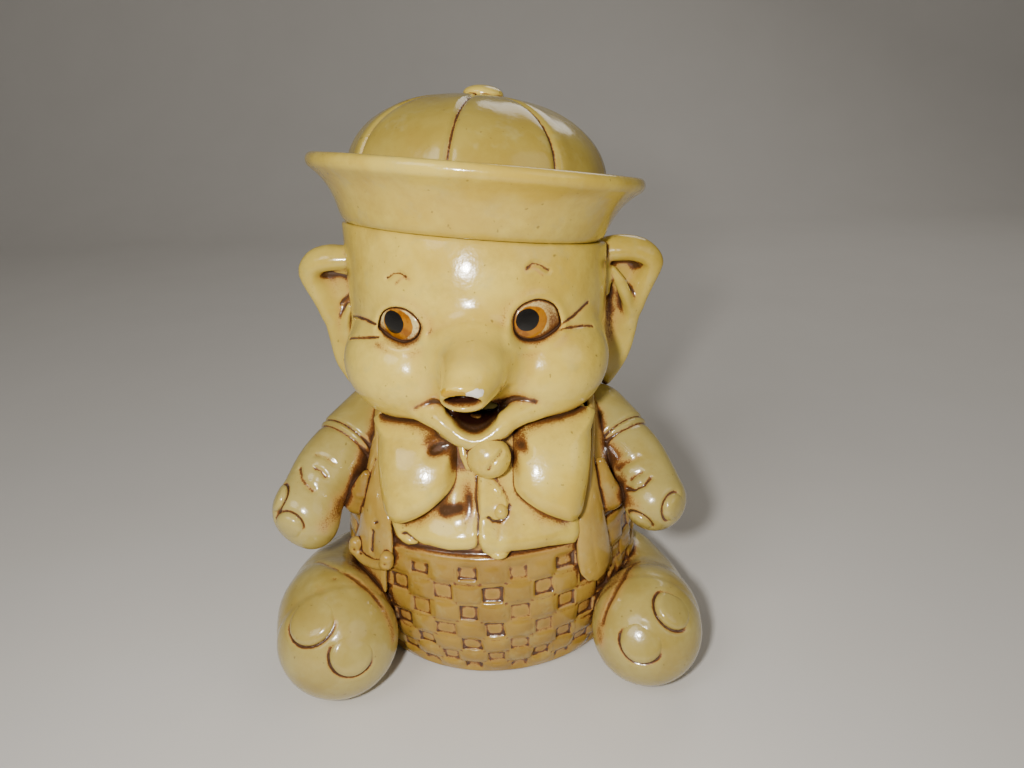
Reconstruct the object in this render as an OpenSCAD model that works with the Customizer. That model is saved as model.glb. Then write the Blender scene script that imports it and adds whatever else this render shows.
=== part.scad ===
// Seated elephant jar in a sailor hat, slip-cast and glazed.
// Frame: millimetres, +Z up, the figure faces -Y, and the origin is the centre of the flat base.
// Left and right are the figure's own: its left side is at +X.

/* [Torso] */
// Largest radius of the torso, at the hips
torso_r = 83; // [80:0.5:86]
// Height of that largest radius above the base
hip_z = 50; // [46:1:54]
// Height at which the torso casting meets the head casting
neck_z = 138; // [136:0.5:140]
// Wall thickness of the torso and head castings
wall = 4.5; // [4:0.5:6]
// Height of the trousers' upper edge at the front
waist_z = 80; // [76:1:84]

/* [Head] */
// Radius of the head
head_r = 67; // [65:0.5:68]
// How far the head sits to the figure's right of the torso's axis
head_shift = 2; // [0:0.5:3]
// Height of the chin, the head's lowest point
chin_z = 136; // [134:0.5:137]
// Turn of the face towards the figure's right, in degrees
face_turn = 2.5; // [0:0.5:5]
// Length of the trunk in front of the face
trunk_len = 28; // [20:1:30]
// Width of the open mouth
mouth_w = 24; // [20:1:26]

/* [Rim and hat] */
// Height of the rim's centre above the base
rim_z = 220.5; // [217:0.5:222]
// Backward slope of the rim and hat, in degrees
back_tilt = 7.5; // [4:0.5:10]
// Sideways slope of the rim and hat, in degrees
side_tilt = 6.5; // [3:0.5:8]
// Radius of the round opening inside the rim
mouth_r = 50; // [46:0.5:52]
// Radius of the hat at its seat
hat_r = 65; // [62:0.5:66]
// Radius of the brim's upper edge
brim_r = 84; // [80:0.5:86]
// Height of the brim's upper edge above the seat
brim_h = 32; // [28:0.5:36]
// Radius of the crown's dome where it leaves the band
crown_r = 65; // [62:0.5:67]
// Height of the crown's top above the seat
crown_h = 65.5; // [60:0.5:68]
// Radial clearance of the locating ring in the rim
ring_play = 1.2; // [0.8:0.1:2]

/* [Limbs] */
// Radius of the foot's ball
foot_r = 30; // [29:0.5:31]
// Radius of the hand
hand_r = 16.5; // [15:0.5:18]
// Wall thickness of the hollow limbs
limb_wall = 4; // [3.5:0.5:6]
// Width across the ears
ear_span = 196; // [188:1:204]

/* [Hidden] */

cream = [0.80, 0.74, 0.52];
pale = [0.86, 0.82, 0.66];
tan_glaze = [0.72, 0.62, 0.40];
amber = [0.85, 0.50, 0.10];

neck_r = 46;        // radius of the passage between the torso and the head
slip = 0.1;         // thickness of the slip layer that joins two castings
seat_gap = 0.25;    // gap between the hat and the rim it rests on
floor_t = 6;        // thickness of the jar's floor
low_h = 112;        // half height of the torso's lower ellipse
high_h = 123;       // half height of the torso's upper ellipse
jaw_r = 30;         // rounding radius of the jaw
rim_taper = 1;      // how much narrower the head is at its top
big = 300;          // larger than the whole figure
step_z = 8;         // height of one band of the torso's outline
ball_fn = 26;       // facets round a clay ball

function lerp(a, b, t) = a + (b - a) * t;
function mirrored(p, side) = [side * p[0], for (k = [1 : len(p) - 1]) p[k]];

// Radius of the torso's outside at height z.
function torso_at(z) = let (h = z < hip_z ? low_h : high_h)
    torso_r * sqrt(1 - pow((z - hip_z) / h, 2));

// Front of the torso's outside at a sideways offset x and a height z, as a y value.
function torso_front(x, z) = -sqrt(pow(torso_at(z), 2) - x * x);

// ---------- shared shapes ----------

module at_rim() {
    translate([-head_shift - 1, 0, rim_z]) rotate([-back_tilt, side_tilt, 0]) children();
}

module face() {
    translate([-head_shift, 0, 0]) rotate([0, 0, -face_turn]) children();
}

module egg(centre, radii, fn = ball_fn) {
    translate(centre) resize(2 * radii) sphere(r = radii[0], $fn = fn);
}

// Balls joined one after another. Each point is [x, y, z, radius].
module chain(points, fn = ball_fn) {
    for (i = [0 : len(points) - 2]) hull() {
        for (p = [points[i], points[i + 1]])
            translate([p[0], p[1], p[2]]) sphere(r = p[3], $fn = fn);
    }
}

// The same, with each stretch between two points cut into equal steps.
function eased(points, steps) = [
    for (i = [0 : len(points) - 2]) for (k = [0 : steps - 1]) lerp(points[i], points[i + 1], k / steps),
    points[len(points) - 1]];

// The torso's outside as a solid of revolution, grown by g.
module torso_solid(g = 0) {
    edge = 5;
    rotate_extrude($fn = 96) polygon(concat(
        [[0, -g], [torso_at(0) - edge + g, -g]],
        [for (z = [edge : step_z : neck_z]) [torso_at(z) + g, z]],
        [[torso_at(neck_z) + g, neck_z], [0, neck_z]]));
}

module torso_cavity() {
    rotate_extrude($fn = 96) polygon(concat(
        [[0, floor_t], [torso_at(floor_t) - wall - 12, floor_t]],
        [for (z = [floor_t + 10 : step_z * 2 : neck_z - 12]) [torso_at(z) - wall, z]],
        [[neck_r, neck_z - 4], [neck_r, neck_z + 1], [0, neck_z + 1]]));
}

// The head's outside before the rim is cut, grown by g: a rounded drum with two cheeks and a muzzle.
module head_solid(g = 0) {
    top_z = rim_z + 25;
    translate([-head_shift, 0, 0]) rotate_extrude($fn = 64) polygon(concat(
        [[0, chin_z - g]],
        [for (a = [-90 : 15 : 0])
            [head_r - jaw_r + (jaw_r + g) * cos(a), chin_z + jaw_r + (jaw_r + g) * sin(a)]],
        [[head_r - rim_taper + g, top_z], [0, top_z]]));
    face() {
        for (side = [-1, 1]) egg([side * 34, -32, chin_z + 29], [32 + g, 34 + g, 26 + g], 32);
        egg([0, -56, chin_z + 40], [31 + g, 20 + g, 20 + g], 32);
    }
}

module head_cavity() {
    top_z = rim_z + 30;
    inner_r = head_r - wall;
    round_r = 20;
    shoulder_z = rim_z - 30;
    translate([-head_shift, 0, 0]) rotate_extrude($fn = 64) polygon(concat(
        [[0, chin_z + wall], [mouth_r, chin_z + wall]],
        [for (a = [-60 : 20 : 0])
            [inner_r - round_r + round_r * cos(a), chin_z + jaw_r + round_r * sin(a)]],
        [[inner_r, shoulder_z], [0, shoulder_z]]));
    translate([0, 0, chin_z - 1]) cylinder(r = neck_r, h = wall + 3, $fn = 64);
    at_rim() translate([0, 0, -40]) cylinder(r1 = inner_r - 4, r2 = mouth_r, h = 26, $fn = 64);
    at_rim() translate([0, 0, -15]) cylinder(r = mouth_r, h = 60, $fn = 64);
}

module above_rim() {
    at_rim() translate([0, 0, big / 2]) cube([big, big, big], center = true);
}

// The open mouth: a rounded V under the trunk that goes right through the wall.
module mouth_hole() {
    low = [0, chin_z + 8, 4];
    high = [mouth_w / 2 - 3, chin_z + 15, 3];
    depth = 60;
    face() translate([0, -40, 0]) rotate([90, 0, 0]) hull()
        for (p = [low, high, [-high[0], high[1], high[2]]])
            translate([p[0], p[1], -20]) cylinder(r = p[2], h = depth + 20, $fn = 24);
}

// ---------- jar ----------

module torso_casting() {
    color(cream) difference() {
        torso_solid();
        torso_cavity();
    }
}

module head_casting() {
    color(cream) difference() {
        head_solid();
        head_cavity();
        above_rim();
        mouth_hole();
        for (side = [-1, 1]) eye_solid(side, slip);
        translate([0, 0, neck_z - 20]) cylinder(r = torso_at(neck_z) + 8, h = 20 + slip, $fn = 96);
    }
}

trunk_root = [0, -60, chin_z + 42];
trunk_dip = 15;     // degrees that the trunk points below the horizontal
module trunk() {
    color(cream) difference() {
        face() translate(trunk_root) rotate([90 + trunk_dip, 0, 0]) difference() {
            chain(eased([[0, 4, 0, 16], [0, 1, 20, 12], [0, 0, trunk_len + 6, 9.5]], 4));
            translate([0, 0, trunk_len + 9]) cylinder(r = 6, h = 20, $fn = 24);
            translate([0, 0, trunk_len + 13]) cylinder(r = 20, h = 20, $fn = 24);
        }
        head_solid(slip);
    }
}

// Centre line of the lower lip as it hangs in a curve between the two corners of the mouth.
function lip_point(t) = [30 * t, -65 - 9 * cos(75 * t), chin_z + 16 - 13 * pow(cos(90 * t), 2), 4 - 1.8 * abs(t)];
module lower_lip() {
    color(cream) difference() {
        face() chain([for (t = [-1 : 0.2 : 1.01]) lip_point(t)], 14);
        head_solid(slip);
        mouth_hole();
        torso_solid(slip);
        trunk_clearance();
    }
}

module trunk_clearance() {
    face() translate(trunk_root) rotate([90 + trunk_dip, 0, 0]) cylinder(r = 12.5, h = 60, $fn = 24);
}

// Outline of an ear from the front, as balls [x, y, z, radius] from its top root to its lobe.
ear_rim = [[62, 8, 204, 8], [78, 10, 206, 7], [ear_span / 2 - 10, 9, 202, 7], [ear_span / 2 - 6, 8, 192, 6.5],
           [ear_span / 2 - 9, 8, 177, 6.5], [84, 9, 162, 6], [79, 9, 145, 6], [69, 10, 134, 6]];
ear_root = [60, 16, 172, 10];
module ear_solid(side) {
    for (i = [0 : len(ear_rim) - 2]) hull() {
        for (p = [ear_rim[i], ear_rim[i + 1], ear_root])
            translate([side * p[0], p[1], p[2]]) sphere(r = p[3], $fn = 20);
    }
}
module ear(side) {
    color(cream) difference() {
        ear_solid(side);
        egg([side * 77, -3, 190], [13, 9, 17], 24);
        hull() {
            translate([side * 72, -1, 172]) sphere(r = 5, $fn = 16);
            translate([side * 68, 1, 150]) sphere(r = 3, $fn = 16);
        }
        hull() head_solid(slip);
    }
}
module ear_left() { ear(1); }
module ear_right() { ear(-1); }

// A smooth ball of clay pressed into each eye socket.
module eye_solid(side, g = 0) {
    face() egg([side * 30.5, -57.5, 190], [9.5 + g, 5 + g, 7.5 + g]);
}
module eye(side) {
    color(amber) eye_solid(side);
}
module eye_left() { eye(1); }
module eye_right() { eye(-1); }

// Centre lines of the arms from shoulder to hand, for the figure's left and right.
arm_line_left = [[60, -6, 116, 17], [78, -28, 101, 16.5], [88, -48, 86, hand_r]];
arm_line_right = [[-62, -6, 120, 17], [-83, -32, 104, 18], [-95, -50, 89, hand_r]];
function arm_line(side) = side > 0 ? arm_line_left : arm_line_right;
module arm_solid(side, g = 0) {
    chain(eased([for (p = arm_line(side)) p + [0, 0, 0, g]], 3));
}
module arm(side) {
    color(cream) difference() {
        arm_solid(side);
        chain(eased([for (p = arm_line(side)) p - [0, 0, 0, limb_wall]], 2), 16);
        torso_solid(slip);
        head_solid(slip);
        ear_solid(side);
    }
}
module arm_left() { arm(1); }
module arm_right() { arm(-1); }

// Two nails on the blunt end of each hand: [offset from the hand's centre, radii].
hand_nail_shapes = [[[11, -11, 4], [5, 5, 7]], [[6, -11, -9], [6, 5, 6]]];
module hand_nails() {
    color(pale) difference() {
        for (side = [-1, 1]) {
            hand = arm_line(side)[2];
            for (nail = hand_nail_shapes)
                egg([hand[0], hand[1], hand[2]] + mirrored(nail[0], side), nail[1], 16);
        }
        for (side = [-1, 1]) arm_solid(side, slip);
    }
}

// Centre line of a leg from hip to foot; the foot's ball is cut flat where it meets the floor.
sole_cut = 1.5;
leg_line = [[74, -12, 30, 20], [84, -37, 30, 20], [78, -77, foot_r - sole_cut, foot_r]];
module leg_solid(side, g = 0) {
    chain(eased([for (p = leg_line) mirrored(p, side) + [0, 0, 0, g]], 4), 28);
}
module below_floor() {
    translate([0, 0, -big / 2]) cube([big, big, big], center = true);
}
module leg(side) {
    color(cream) difference() {
        leg_solid(side);
        chain(eased([for (p = leg_line) mirrored(p, side) + [0, 0, 1, -limb_wall - 1]], 2), 16);
        torso_solid(slip);
        below_floor();
    }
}
module leg_left() { leg(1); }
module leg_right() { leg(-1); }

// Two broad nails on the front of each foot: [place, radii].
toenail_shapes = [[[68, -104, 38], [11, 6, 9.5]], [[90, -99, 46], [11, 6, 8.5]]];
module toenails(side) {
    color(pale) difference() {
        for (nail = toenail_shapes) egg(mirrored(nail[0], side), nail[1], 18);
        leg_solid(side, slip);
    }
}
module toenails_left() { toenails(1); }
module toenails_right() { toenails(-1); }

// ---------- clothes ----------

loop_line = [[12, -79, 133, 8], [27, -75, 130, 12], [38, -69, 131, 12]];
loop_tip = [37, -74, 110, 10];
module loop_solid(side) {
    for (i = [0 : len(loop_line) - 2]) hull() {
        for (p = [loop_line[i], loop_line[i + 1], loop_tip])
            translate([side * p[0], p[1], p[2]]) sphere(r = p[3], $fn = 24);
    }
}
module knot_solid() {
    egg([0, -83, 133], [10.5, 9, 11], 24);
}
module bow_loop(side) {
    color(pale) difference() {
        loop_solid(side);
        knot_solid();
        torso_solid(slip);
        head_solid(slip);
        lip_and_mouth();
    }
}
module bow_loop_left() { bow_loop(1); }
module bow_loop_right() { bow_loop(-1); }

module bow_knot() {
    color(pale) difference() {
        knot_solid();
        torso_solid(slip);
        head_solid(slip);
        lip_and_mouth();
    }
}

// Space kept free for the lip, which hangs in front of the bow.
module lip_and_mouth() {
    face() chain([for (t = [-1 : 0.2 : 1.01]) lip_point(t) + [0, 0, 0, slip]], 14);
}

// A panel that follows the torso's front from one height to another, d proud of it.
module front_panel(x0, x1, z0, z1, d) {
    intersection() {
        torso_solid(d);
        translate([x0, -torso_r - 20, z0]) cube([x1 - x0, torso_r, z1 - z0]);
    }
}

flap_r = 4;         // thickness of the shirt's tails where they hang over the waist
module shirt_solid() {
    front_panel(-44, 44, waist_z + 6, neck_z, 3);
    for (side = [-1, 1]) {
        end_rise = side > 0 ? 1 : 10;
        tail = [for (t = [0 : 0.25 : 1])
            let (x = lerp(3, 42, t), z = lerp(waist_z + 1, waist_z + end_rise, t))
            [side * x, torso_front(x, z) - 1, z, flap_r]];
        chain(tail, 16);
    }
}
module shirt_front() {
    color(pale) difference() {
        shirt_solid();
        torso_solid(slip);
        head_solid(slip);
        lip_and_mouth();
        knot_solid();
        for (side = [-1, 1]) loop_solid(side);
        button_places(slip);
        for (side = [-1, 1]) strap_solid(side);
    }
}

module button_places(g = 0) {
    for (z = [waist_z - 1, waist_z + 18])
        translate([5, torso_front(5, z) - 3, z]) resize([2 * (5 + g), 2 * (4 + g), 2 * (4 + g)])
            sphere(r = 5, $fn = 18);
}
module shirt_buttons() {
    color(pale) difference() {
        button_places();
        torso_solid(slip);
    }
}

// A brace from the shoulder down to the trousers, over the front and the back.
strap_top = neck_z - 4;
strap_low = 58;
strap_r = 2.6;      // half thickness of a brace
module strap_solid(side) {
    steps = 8;
    for (back = [0, 1]) mirror([0, back, 0]) for (i = [0 : steps - 1]) hull() {
        for (k = [i, i + 1]) {
            z = lerp(strap_top, strap_low, k / steps);
            x = lerp(46, 55, k / steps);
            half = lerp(3.5, 7, k / steps);
            for (w = [-half, half])
                translate([side * (x + w), torso_front(x + w, z), z]) sphere(r = strap_r, $fn = 12);
        }
    }
}
module strap(side) {
    color(tan_glaze) difference() {
        strap_solid(side);
        torso_solid(slip);
        head_solid(slip);
        loop_solid(side);
        arm_solid(side, slip);
    }
}
module strap_left() { strap(1); }
module strap_right() { strap(-1); }

// The clasp on the figure's right-hand brace: two short upright rolls, given as [x, z].
clasp_rolls = [[-69, 66], [-51, 68]];
roll_r = 3.6;
module strap_clasp() {
    color(tan_glaze) difference() {
        for (p = clasp_rolls) {
            y = torso_front(p[0], p[1]) - 3;
            hull() for (rise = [-2.5, 2.5]) translate([p[0], y, p[1] + rise]) sphere(r = roll_r, $fn = 14);
        }
        torso_solid(slip);
        strap_solid(-1);
    }
}

// ---------- hat ----------

// The upturned brim and its band, one wall that flares out from the seat.
band_in = mouth_r - ring_play;
band_h = 4;         // thickness of the flat plate that seats on the rim
module hat_band() {
    lip = 3.6;      // rounding radius of the brim's edge
    lip_x = brim_r - lip;
    color(pale) at_rim() translate([0, 0, seat_gap]) rotate_extrude($fn = 96) {
        polygon([[band_in, 0], [hat_r - 2, 0], [hat_r, 2], [hat_r + 2, 10], [hat_r + 6, 18],
                 [lip_x + 1.6, brim_h - 2 * lip + 0.5], [lip_x, brim_h], [lip_x - 3, brim_h - 1],
                 [hat_r + 3, 20], [hat_r + slip, 10], [hat_r + slip, band_h], [band_in, band_h]]);
        translate([lip_x, brim_h - lip]) circle(r = lip, $fn = 32);
    }
}

// The crown: a dome on the band, hollow underneath.
crown_wall = 4;
dome_base = 24;     // height above the seat at which the dome springs from its upright foot
dome_power = 0.91;  // below 1, so the dome is a little squarer than an ellipse
module hat_crown() {
    rise = crown_h - dome_base;
    inner_r = crown_r - crown_wall;
    foot_z = band_h + slip;
    color(cream) at_rim() translate([0, 0, seat_gap]) rotate_extrude($fn = 96) polygon(concat(
        [[crown_r, foot_z]],
        [for (a = [0 : 7.5 : 90]) dome(a, crown_r, rise)],
        [for (a = [90 : -15 : 0]) dome(a, inner_r, rise - crown_wall)],
        [[inner_r, foot_z]]));
}
// A point of the dome's outline at angle a above its base, for a dome of radius r and height h.
function dome(a, r, h) = [r * pow(cos(a), dome_power), dome_base + h * pow(sin(a), dome_power)];

module hat_button() {
    color(pale) at_rim() translate([0, 0, seat_gap + 2 * slip + crown_h]) {
        rotate_extrude($fn = 48) polygon(concat([[0, 0]],
            [for (a = [0 : 15 : 90]) [6 + 3 * cos(a), 3.6 * sin(a)]], [[0, 3.6]]));
    }
}

// The ring that drops into the rim and keeps the hat from sliding off.
ring_h = 10;
ring_t = 5;
module hat_locating_ring() {
    out_r = mouth_r - ring_play - slip;
    color(pale) at_rim() translate([0, 0, seat_gap]) rotate_extrude($fn = 96) polygon([
        [out_r - ring_t, -ring_h + 1], [out_r - ring_t + 1, -ring_h], [out_r - 1, -ring_h],
        [out_r, -ring_h + 1], [out_r, band_h], [out_r - ring_t, band_h]]);
}

torso_casting();
head_casting();
trunk();
lower_lip();
ear_left();
ear_right();
eye_left();
eye_right();
arm_left();
arm_right();
hand_nails();
leg_left();
leg_right();
toenails_left();
toenails_right();
bow_loop_left();
bow_loop_right();
bow_knot();
shirt_front();
shirt_buttons();
strap_left();
strap_right();
strap_clasp();
hat_band();
hat_crown();
hat_button();
hat_locating_ring();
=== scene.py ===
"""Glazed ceramic elephant jar with a lift-off sailor hat.

Every piece is first a field: a function that takes points in millimetres and returns their
signed distance to the clay. mesh_field() turns a field into a mesh, and measure_relief() stores
how deep in a crease each vertex lies. The glazes use that to settle the brown antiquing stain.
"""
import math
import bpy
import numpy as np
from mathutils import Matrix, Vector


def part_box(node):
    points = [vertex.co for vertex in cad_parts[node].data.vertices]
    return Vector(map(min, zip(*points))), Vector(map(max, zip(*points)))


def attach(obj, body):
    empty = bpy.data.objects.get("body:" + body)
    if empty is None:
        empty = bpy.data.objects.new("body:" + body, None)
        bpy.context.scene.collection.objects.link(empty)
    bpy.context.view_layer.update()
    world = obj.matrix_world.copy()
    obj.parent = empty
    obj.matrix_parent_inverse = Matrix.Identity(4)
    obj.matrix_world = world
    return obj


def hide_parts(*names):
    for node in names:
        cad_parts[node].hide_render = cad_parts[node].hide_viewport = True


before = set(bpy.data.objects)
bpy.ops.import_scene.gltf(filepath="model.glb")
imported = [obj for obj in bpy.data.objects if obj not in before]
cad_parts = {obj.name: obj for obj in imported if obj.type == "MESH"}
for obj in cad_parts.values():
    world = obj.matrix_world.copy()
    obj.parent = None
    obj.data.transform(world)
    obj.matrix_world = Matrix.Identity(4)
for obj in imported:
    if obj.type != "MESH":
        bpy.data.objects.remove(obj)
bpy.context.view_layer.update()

import openvdb
from mathutils import Matrix, Vector

MM = 0.001


def cad_mm(node):
    """The CAD node's lowest and highest corners in millimetres."""
    low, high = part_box(node)
    return np.array(low) / MM, np.array(high) / MM


# ---------- driving sizes, from the frame where it has them (mm) ----------

torso_low, torso_high = cad_mm("torso_casting")
TORSO_R = (torso_high[0] - torso_low[0]) / 2
NECK_Z = torso_high[2]
HIP_Z = 50.0
LOW_H, HIGH_H = 112.0, 123.0        # half heights of the torso's lower and upper ellipse
WALL = 4.5
FLOOR, SHELF = 6, 6                 # thickness of the torso's floor and of its top
PASSAGE_R = 46.0                    # passage between torso and head
HEAD_X = -2.0                       # the head stands a little to the figure's right
HEAD_R = 67.0
CHIN_Z = 136.0
JAW_R = 30.0
HOLLOW_R, HOLLOW_ROUND = 62.5, 20   # the head's hollow and the rounding of its floor
FOOT_R = 57                         # inside this radius the head's underside rests on the torso
BACK_TILT, SIDE_TILT = 7.5, 6.5     # slope of the rim and hat in degrees
RIM = np.array([-3, 0, 220.5], dtype=np.float32)
MOUTH_R = 50.0                      # the round opening inside the rim
OPENING_END = 16                    # how deep below the rim the opening keeps its width
CONE_START, CONE_END = 12, 44       # where the widening part below it starts and ends
DRUM_START = 30                     # where the head's full hollow starts
CROWN_R, CROWN_H = 65.0, 65.5
DOME_BASE = 24                      # height at which the crown starts to curve in
DOME_POWER = 2 / 0.91               # 2 would make the crown's curve an ellipse; more is fuller
GORES, GORE_TURN = 8, 11.0          # the crown's panels, and the turn of its seams in degrees
SEAT_GAP = 0.25                     # play between the crown and the band


# ---------- field tools ----------

def points_of(rows):
    return np.array(rows, dtype=np.float32)


def smooth_min(a, b, k):
    """Joins two fields with a fillet of about k."""
    h = np.clip(0.5 + 0.5 * (b - a) / k, 0, 1)
    return b + (a - b) * h - k * h * (1 - h)


def smooth_max(a, b, k):
    return -smooth_min(-a, -b, k)


def ramp(x, low, high):
    """Smooth step from 0 at low to 1 at high."""
    t = np.clip((x - low) / (high - low), 0, 1)
    return t * t * (3 - 2 * t)


def corner(a, b):
    """Distance to where both a and b are negative, true outside."""
    return np.hypot(np.maximum(a, 0), np.maximum(b, 0)) + np.minimum(np.maximum(a, b), 0)


def round_max(a, b, radius):
    """Intersects two fields, with their shared edge rounded to a true radius."""
    return corner(a + radius, b + radius) - radius


def bell(x, width):
    return np.exp(-(x / width) ** 2)


def turn(angles):
    """Rotation matrix for Euler angles in degrees, applied X, then Y, then Z."""
    x, y, z = (math.radians(a) for a in angles)
    full = Matrix.Rotation(z, 3, "Z") @ Matrix.Rotation(y, 3, "Y") @ Matrix.Rotation(x, 3, "X")
    return np.array(full, dtype=np.float32)


def ball(p, centre, radius):
    return np.linalg.norm(p - points_of(centre), axis=1) - radius


def egg(p, centre, radii, angles=(0, 0, 0)):
    """Ellipsoid, close to a true distance near its surface."""
    q = (p - points_of(centre)) @ turn(angles)
    radii = points_of(radii)
    k0 = np.linalg.norm(q / radii, axis=1)
    k1 = np.linalg.norm(q / (radii * radii), axis=1)
    return k0 * (k0 - 1) / np.maximum(k1, 1e-6)


def rod(p, a, b):
    """A ball that grows or shrinks on its way from a to b; each end is [x, y, z, radius]."""
    a, b = points_of(a), points_of(b)
    along = b[:3] - a[:3]
    t = np.clip((p - a[:3]) @ along / max(float(along @ along), 1e-9), 0, 1)
    off = p - a[:3] - t[:, None] * along
    return np.linalg.norm(off, axis=1) - (a[3] + t * (b[3] - a[3]))


def chain(p, row):
    d = rod(p, row[0], row[1])
    for a, b in zip(row[1:-1], row[2:]):
        d = np.minimum(d, rod(p, a, b))
    return d


def curve(row, steps=4):
    """Catmull-Rom curve through given points of any width, as a list of points."""
    row = points_of(row)
    ends = np.vstack([2 * row[0] - row[1], row, 2 * row[-1] - row[-2]])
    out = []
    for i in range(len(row) - 1):
        a, b, c, d = ends[i:i + 4]
        for t in np.arange(steps) / steps:
            out.append(0.5 * (2 * b + (c - a) * t + (2 * a - 5 * b + 4 * c - d) * t ** 2
                              + (3 * b - a - 3 * c + d) * t ** 3))
    return np.array(out + [row[-1]])


def loop(row, steps=4):
    """The same for a closed outline."""
    row = [list(r) for r in row]
    return curve([row[-1], *row, row[0], row[1]], steps)[steps:-steps]


def near_row(p, row, reach):
    """True for points within reach of the bounding box of a row of points."""
    row = points_of(row)[:, :3]
    return np.all((p > row.min(0) - reach) & (p < row.max(0) + reach), axis=1)


def patch(d, p, row, reach, change):
    """Near a row of points, replaces the field d by change(d, p)."""
    near = near_row(p, row, reach)
    if near.any():
        d[near] = change(d[near], p[near])


def far(p):
    """A field with no clay near any point."""
    return np.full(len(p), 9.0, dtype=np.float32)


def join_chain(d, p, row, k):
    """Adds a chain of balls to the field d, with a fillet of k."""
    reach = float(np.max(points_of(row)[:, 3])) + 2
    patch(d, p, row, reach + k, lambda e, q: smooth_min(e, chain(q, row), k))


def join_egg(d, p, centre, radii, k, angles=(0, 0, 0)):
    patch(d, p, [centre], max(radii) + 2 + k,
          lambda e, q: smooth_min(e, egg(q, centre, radii, angles), k))


def cut_egg(d, p, centre, radii, k, angles=(0, 0, 0)):
    patch(d, p, [centre], max(radii) + 2 + k,
          lambda e, q: smooth_max(e, -egg(q, centre, radii, angles), k))


def path_distance(p, row):
    return chain(p, [[*point[:3], 0] for point in row])


def press_line(d, p, row, width, depth):
    """Presses a soft groove along a line in space; a negative depth raises it."""
    patch(d, p, row, 3 * width, lambda e, q: e + depth * bell(path_distance(q, row), width))


def press_spot(d, p, centre, radius, depth):
    """Presses a round dent; a negative depth raises a bump."""
    patch(d, p, [centre], 3 * radius, lambda e, q: e + depth * bell(ball(q, centre, 0), radius))


def flat_distance(p, row):
    """Distance in the XZ plane to a line drawn on the front as [x, z] points."""
    level = p * points_of([1, 0, 1])
    return path_distance(level, [[x, 0, z] for x, z in row])


def press_front(d, p, row, width, depth, back=-25.0):
    """The same as press_line for a line drawn on the front, whatever the surface's depth there."""
    (x_low, z_low), (x_high, z_high) = np.min(row, 0) - 3 * width, np.max(row, 0) + 3 * width
    x, y, z = p.T
    near = (x > x_low) & (x < x_high) & (z > z_low) & (z < z_high) & (y < back)
    if near.any():
        d[near] += depth * bell(flat_distance(p[near], row), width)


def press_ring(d, p, centre, radius, toward, depth):
    """Presses a groove round a mound, deepest on the side where the mound's edge stands out."""
    toward = points_of(toward) / np.linalg.norm(toward)

    def groove(e, q):
        off = q - points_of(centre)
        away = np.linalg.norm(off, axis=1)
        return e + depth * bell(away - radius - 0.2, 1.2) * ramp(off @ toward / radius, -0.25, 0.5)
    patch(d, p, [centre], radius + 5, groove)


def outline(x, z, corners):
    """Signed distance in the plane to a closed outline, negative inside."""
    corners = points_of(corners)
    best = np.full(x.shape, 1e9, dtype=np.float32)
    inside = np.zeros(x.shape, dtype=bool)
    for (ax, az), (bx, bz) in zip(corners, np.roll(corners, -1, axis=0)):
        ex, ez = bx - ax, bz - az
        wx, wz = x - ax, z - az
        t = np.clip((wx * ex + wz * ez) / max(ex * ex + ez * ez, 1e-9), 0, 1)
        best = np.minimum(best, (wx - ex * t) ** 2 + (wz - ez * t) ** 2)
        if az != bz:
            crosses = (az > z) != (bz > z)
            inside ^= crosses & (wx < ex * wz / ez)
    return np.where(inside, -1, 1).astype(np.float32) * np.sqrt(best)


RIM_TURN = turn([-BACK_TILT, SIDE_TILT, 0])


def rim_space(p):
    """Points seen from the sloping rim: its centre is the origin and +Z leaves the jar."""
    return (p - RIM) @ RIM_TURN


def rim_round(p):
    """Distance from the rim's axis, and height above the rim."""
    x, y, z = rim_space(p).T
    return np.hypot(x, y), z


# ---------- meshing ----------

def mesh_field(field, low, high, voxel):
    """Closed quad mesh of the field's zero surface inside a box: vertices in mm, and faces."""
    block = 4
    low, high = np.array(low, float) - 2 * voxel, np.array(high, float) + 2 * voxel
    count = np.ceil((high - low) / (voxel * block)).astype(int)
    places = np.stack(np.meshgrid(*[np.arange(n) for n in count], indexing="ij"), -1).reshape(-1, 3)
    middle = (low + (places * block + (block - 1) / 2) * voxel).astype(np.float32)
    parts = np.array_split(middle, max(1, len(middle) // 150000))
    coarse = np.concatenate([field(part) for part in parts])
    band = 3 * voxel
    inside = (coarse.reshape(count) < 0).repeat(block, 0).repeat(block, 1).repeat(block, 2)
    grid = np.where(inside, -band, band).astype(np.float32)
    # 1.4 leaves room for fields that aren't true distances
    busy = places[np.abs(coarse) < block * voxel * 1.4 + band]
    cell = np.stack(np.meshgrid(*[np.arange(block)] * 3, indexing="ij"), -1).reshape(-1, 3)
    for part in np.array_split(busy, max(1, len(busy) // 3000)):
        at = (part[:, None, :] * block + cell).reshape(-1, 3)
        value = field((low + at * voxel).astype(np.float32))
        grid[at[:, 0], at[:, 1], at[:, 2]] = np.clip(value, -band, band)
    volume = openvdb.FloatGrid(float(band))
    volume.copyFromArray(grid, tolerance=0.0)
    verts, quads = volume.convertToQuads(isovalue=0.0)
    return low + verts * voxel, quads.astype(np.int64)


def drop_crumbs(verts, quads, keep):
    """Keeps only the separate parts of a mesh that have at least keep faces."""
    label = np.arange(len(verts))
    while True:
        low = label[quads].min(1)
        new = label.copy()
        for k in range(4):
            np.minimum.at(new, quads[:, k], low)
        for _ in range(4):
            new = new[new]
        if np.array_equal(new, label):
            break
        label = new
    part = label[quads[:, 0]]
    names, counts = np.unique(part, return_counts=True)
    quads = quads[np.isin(part, names[counts >= keep])]
    used = np.unique(quads)
    renumber = np.zeros(len(verts), dtype=np.int64)
    renumber[used] = np.arange(len(used))
    return verts[used], renumber[quads]


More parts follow.
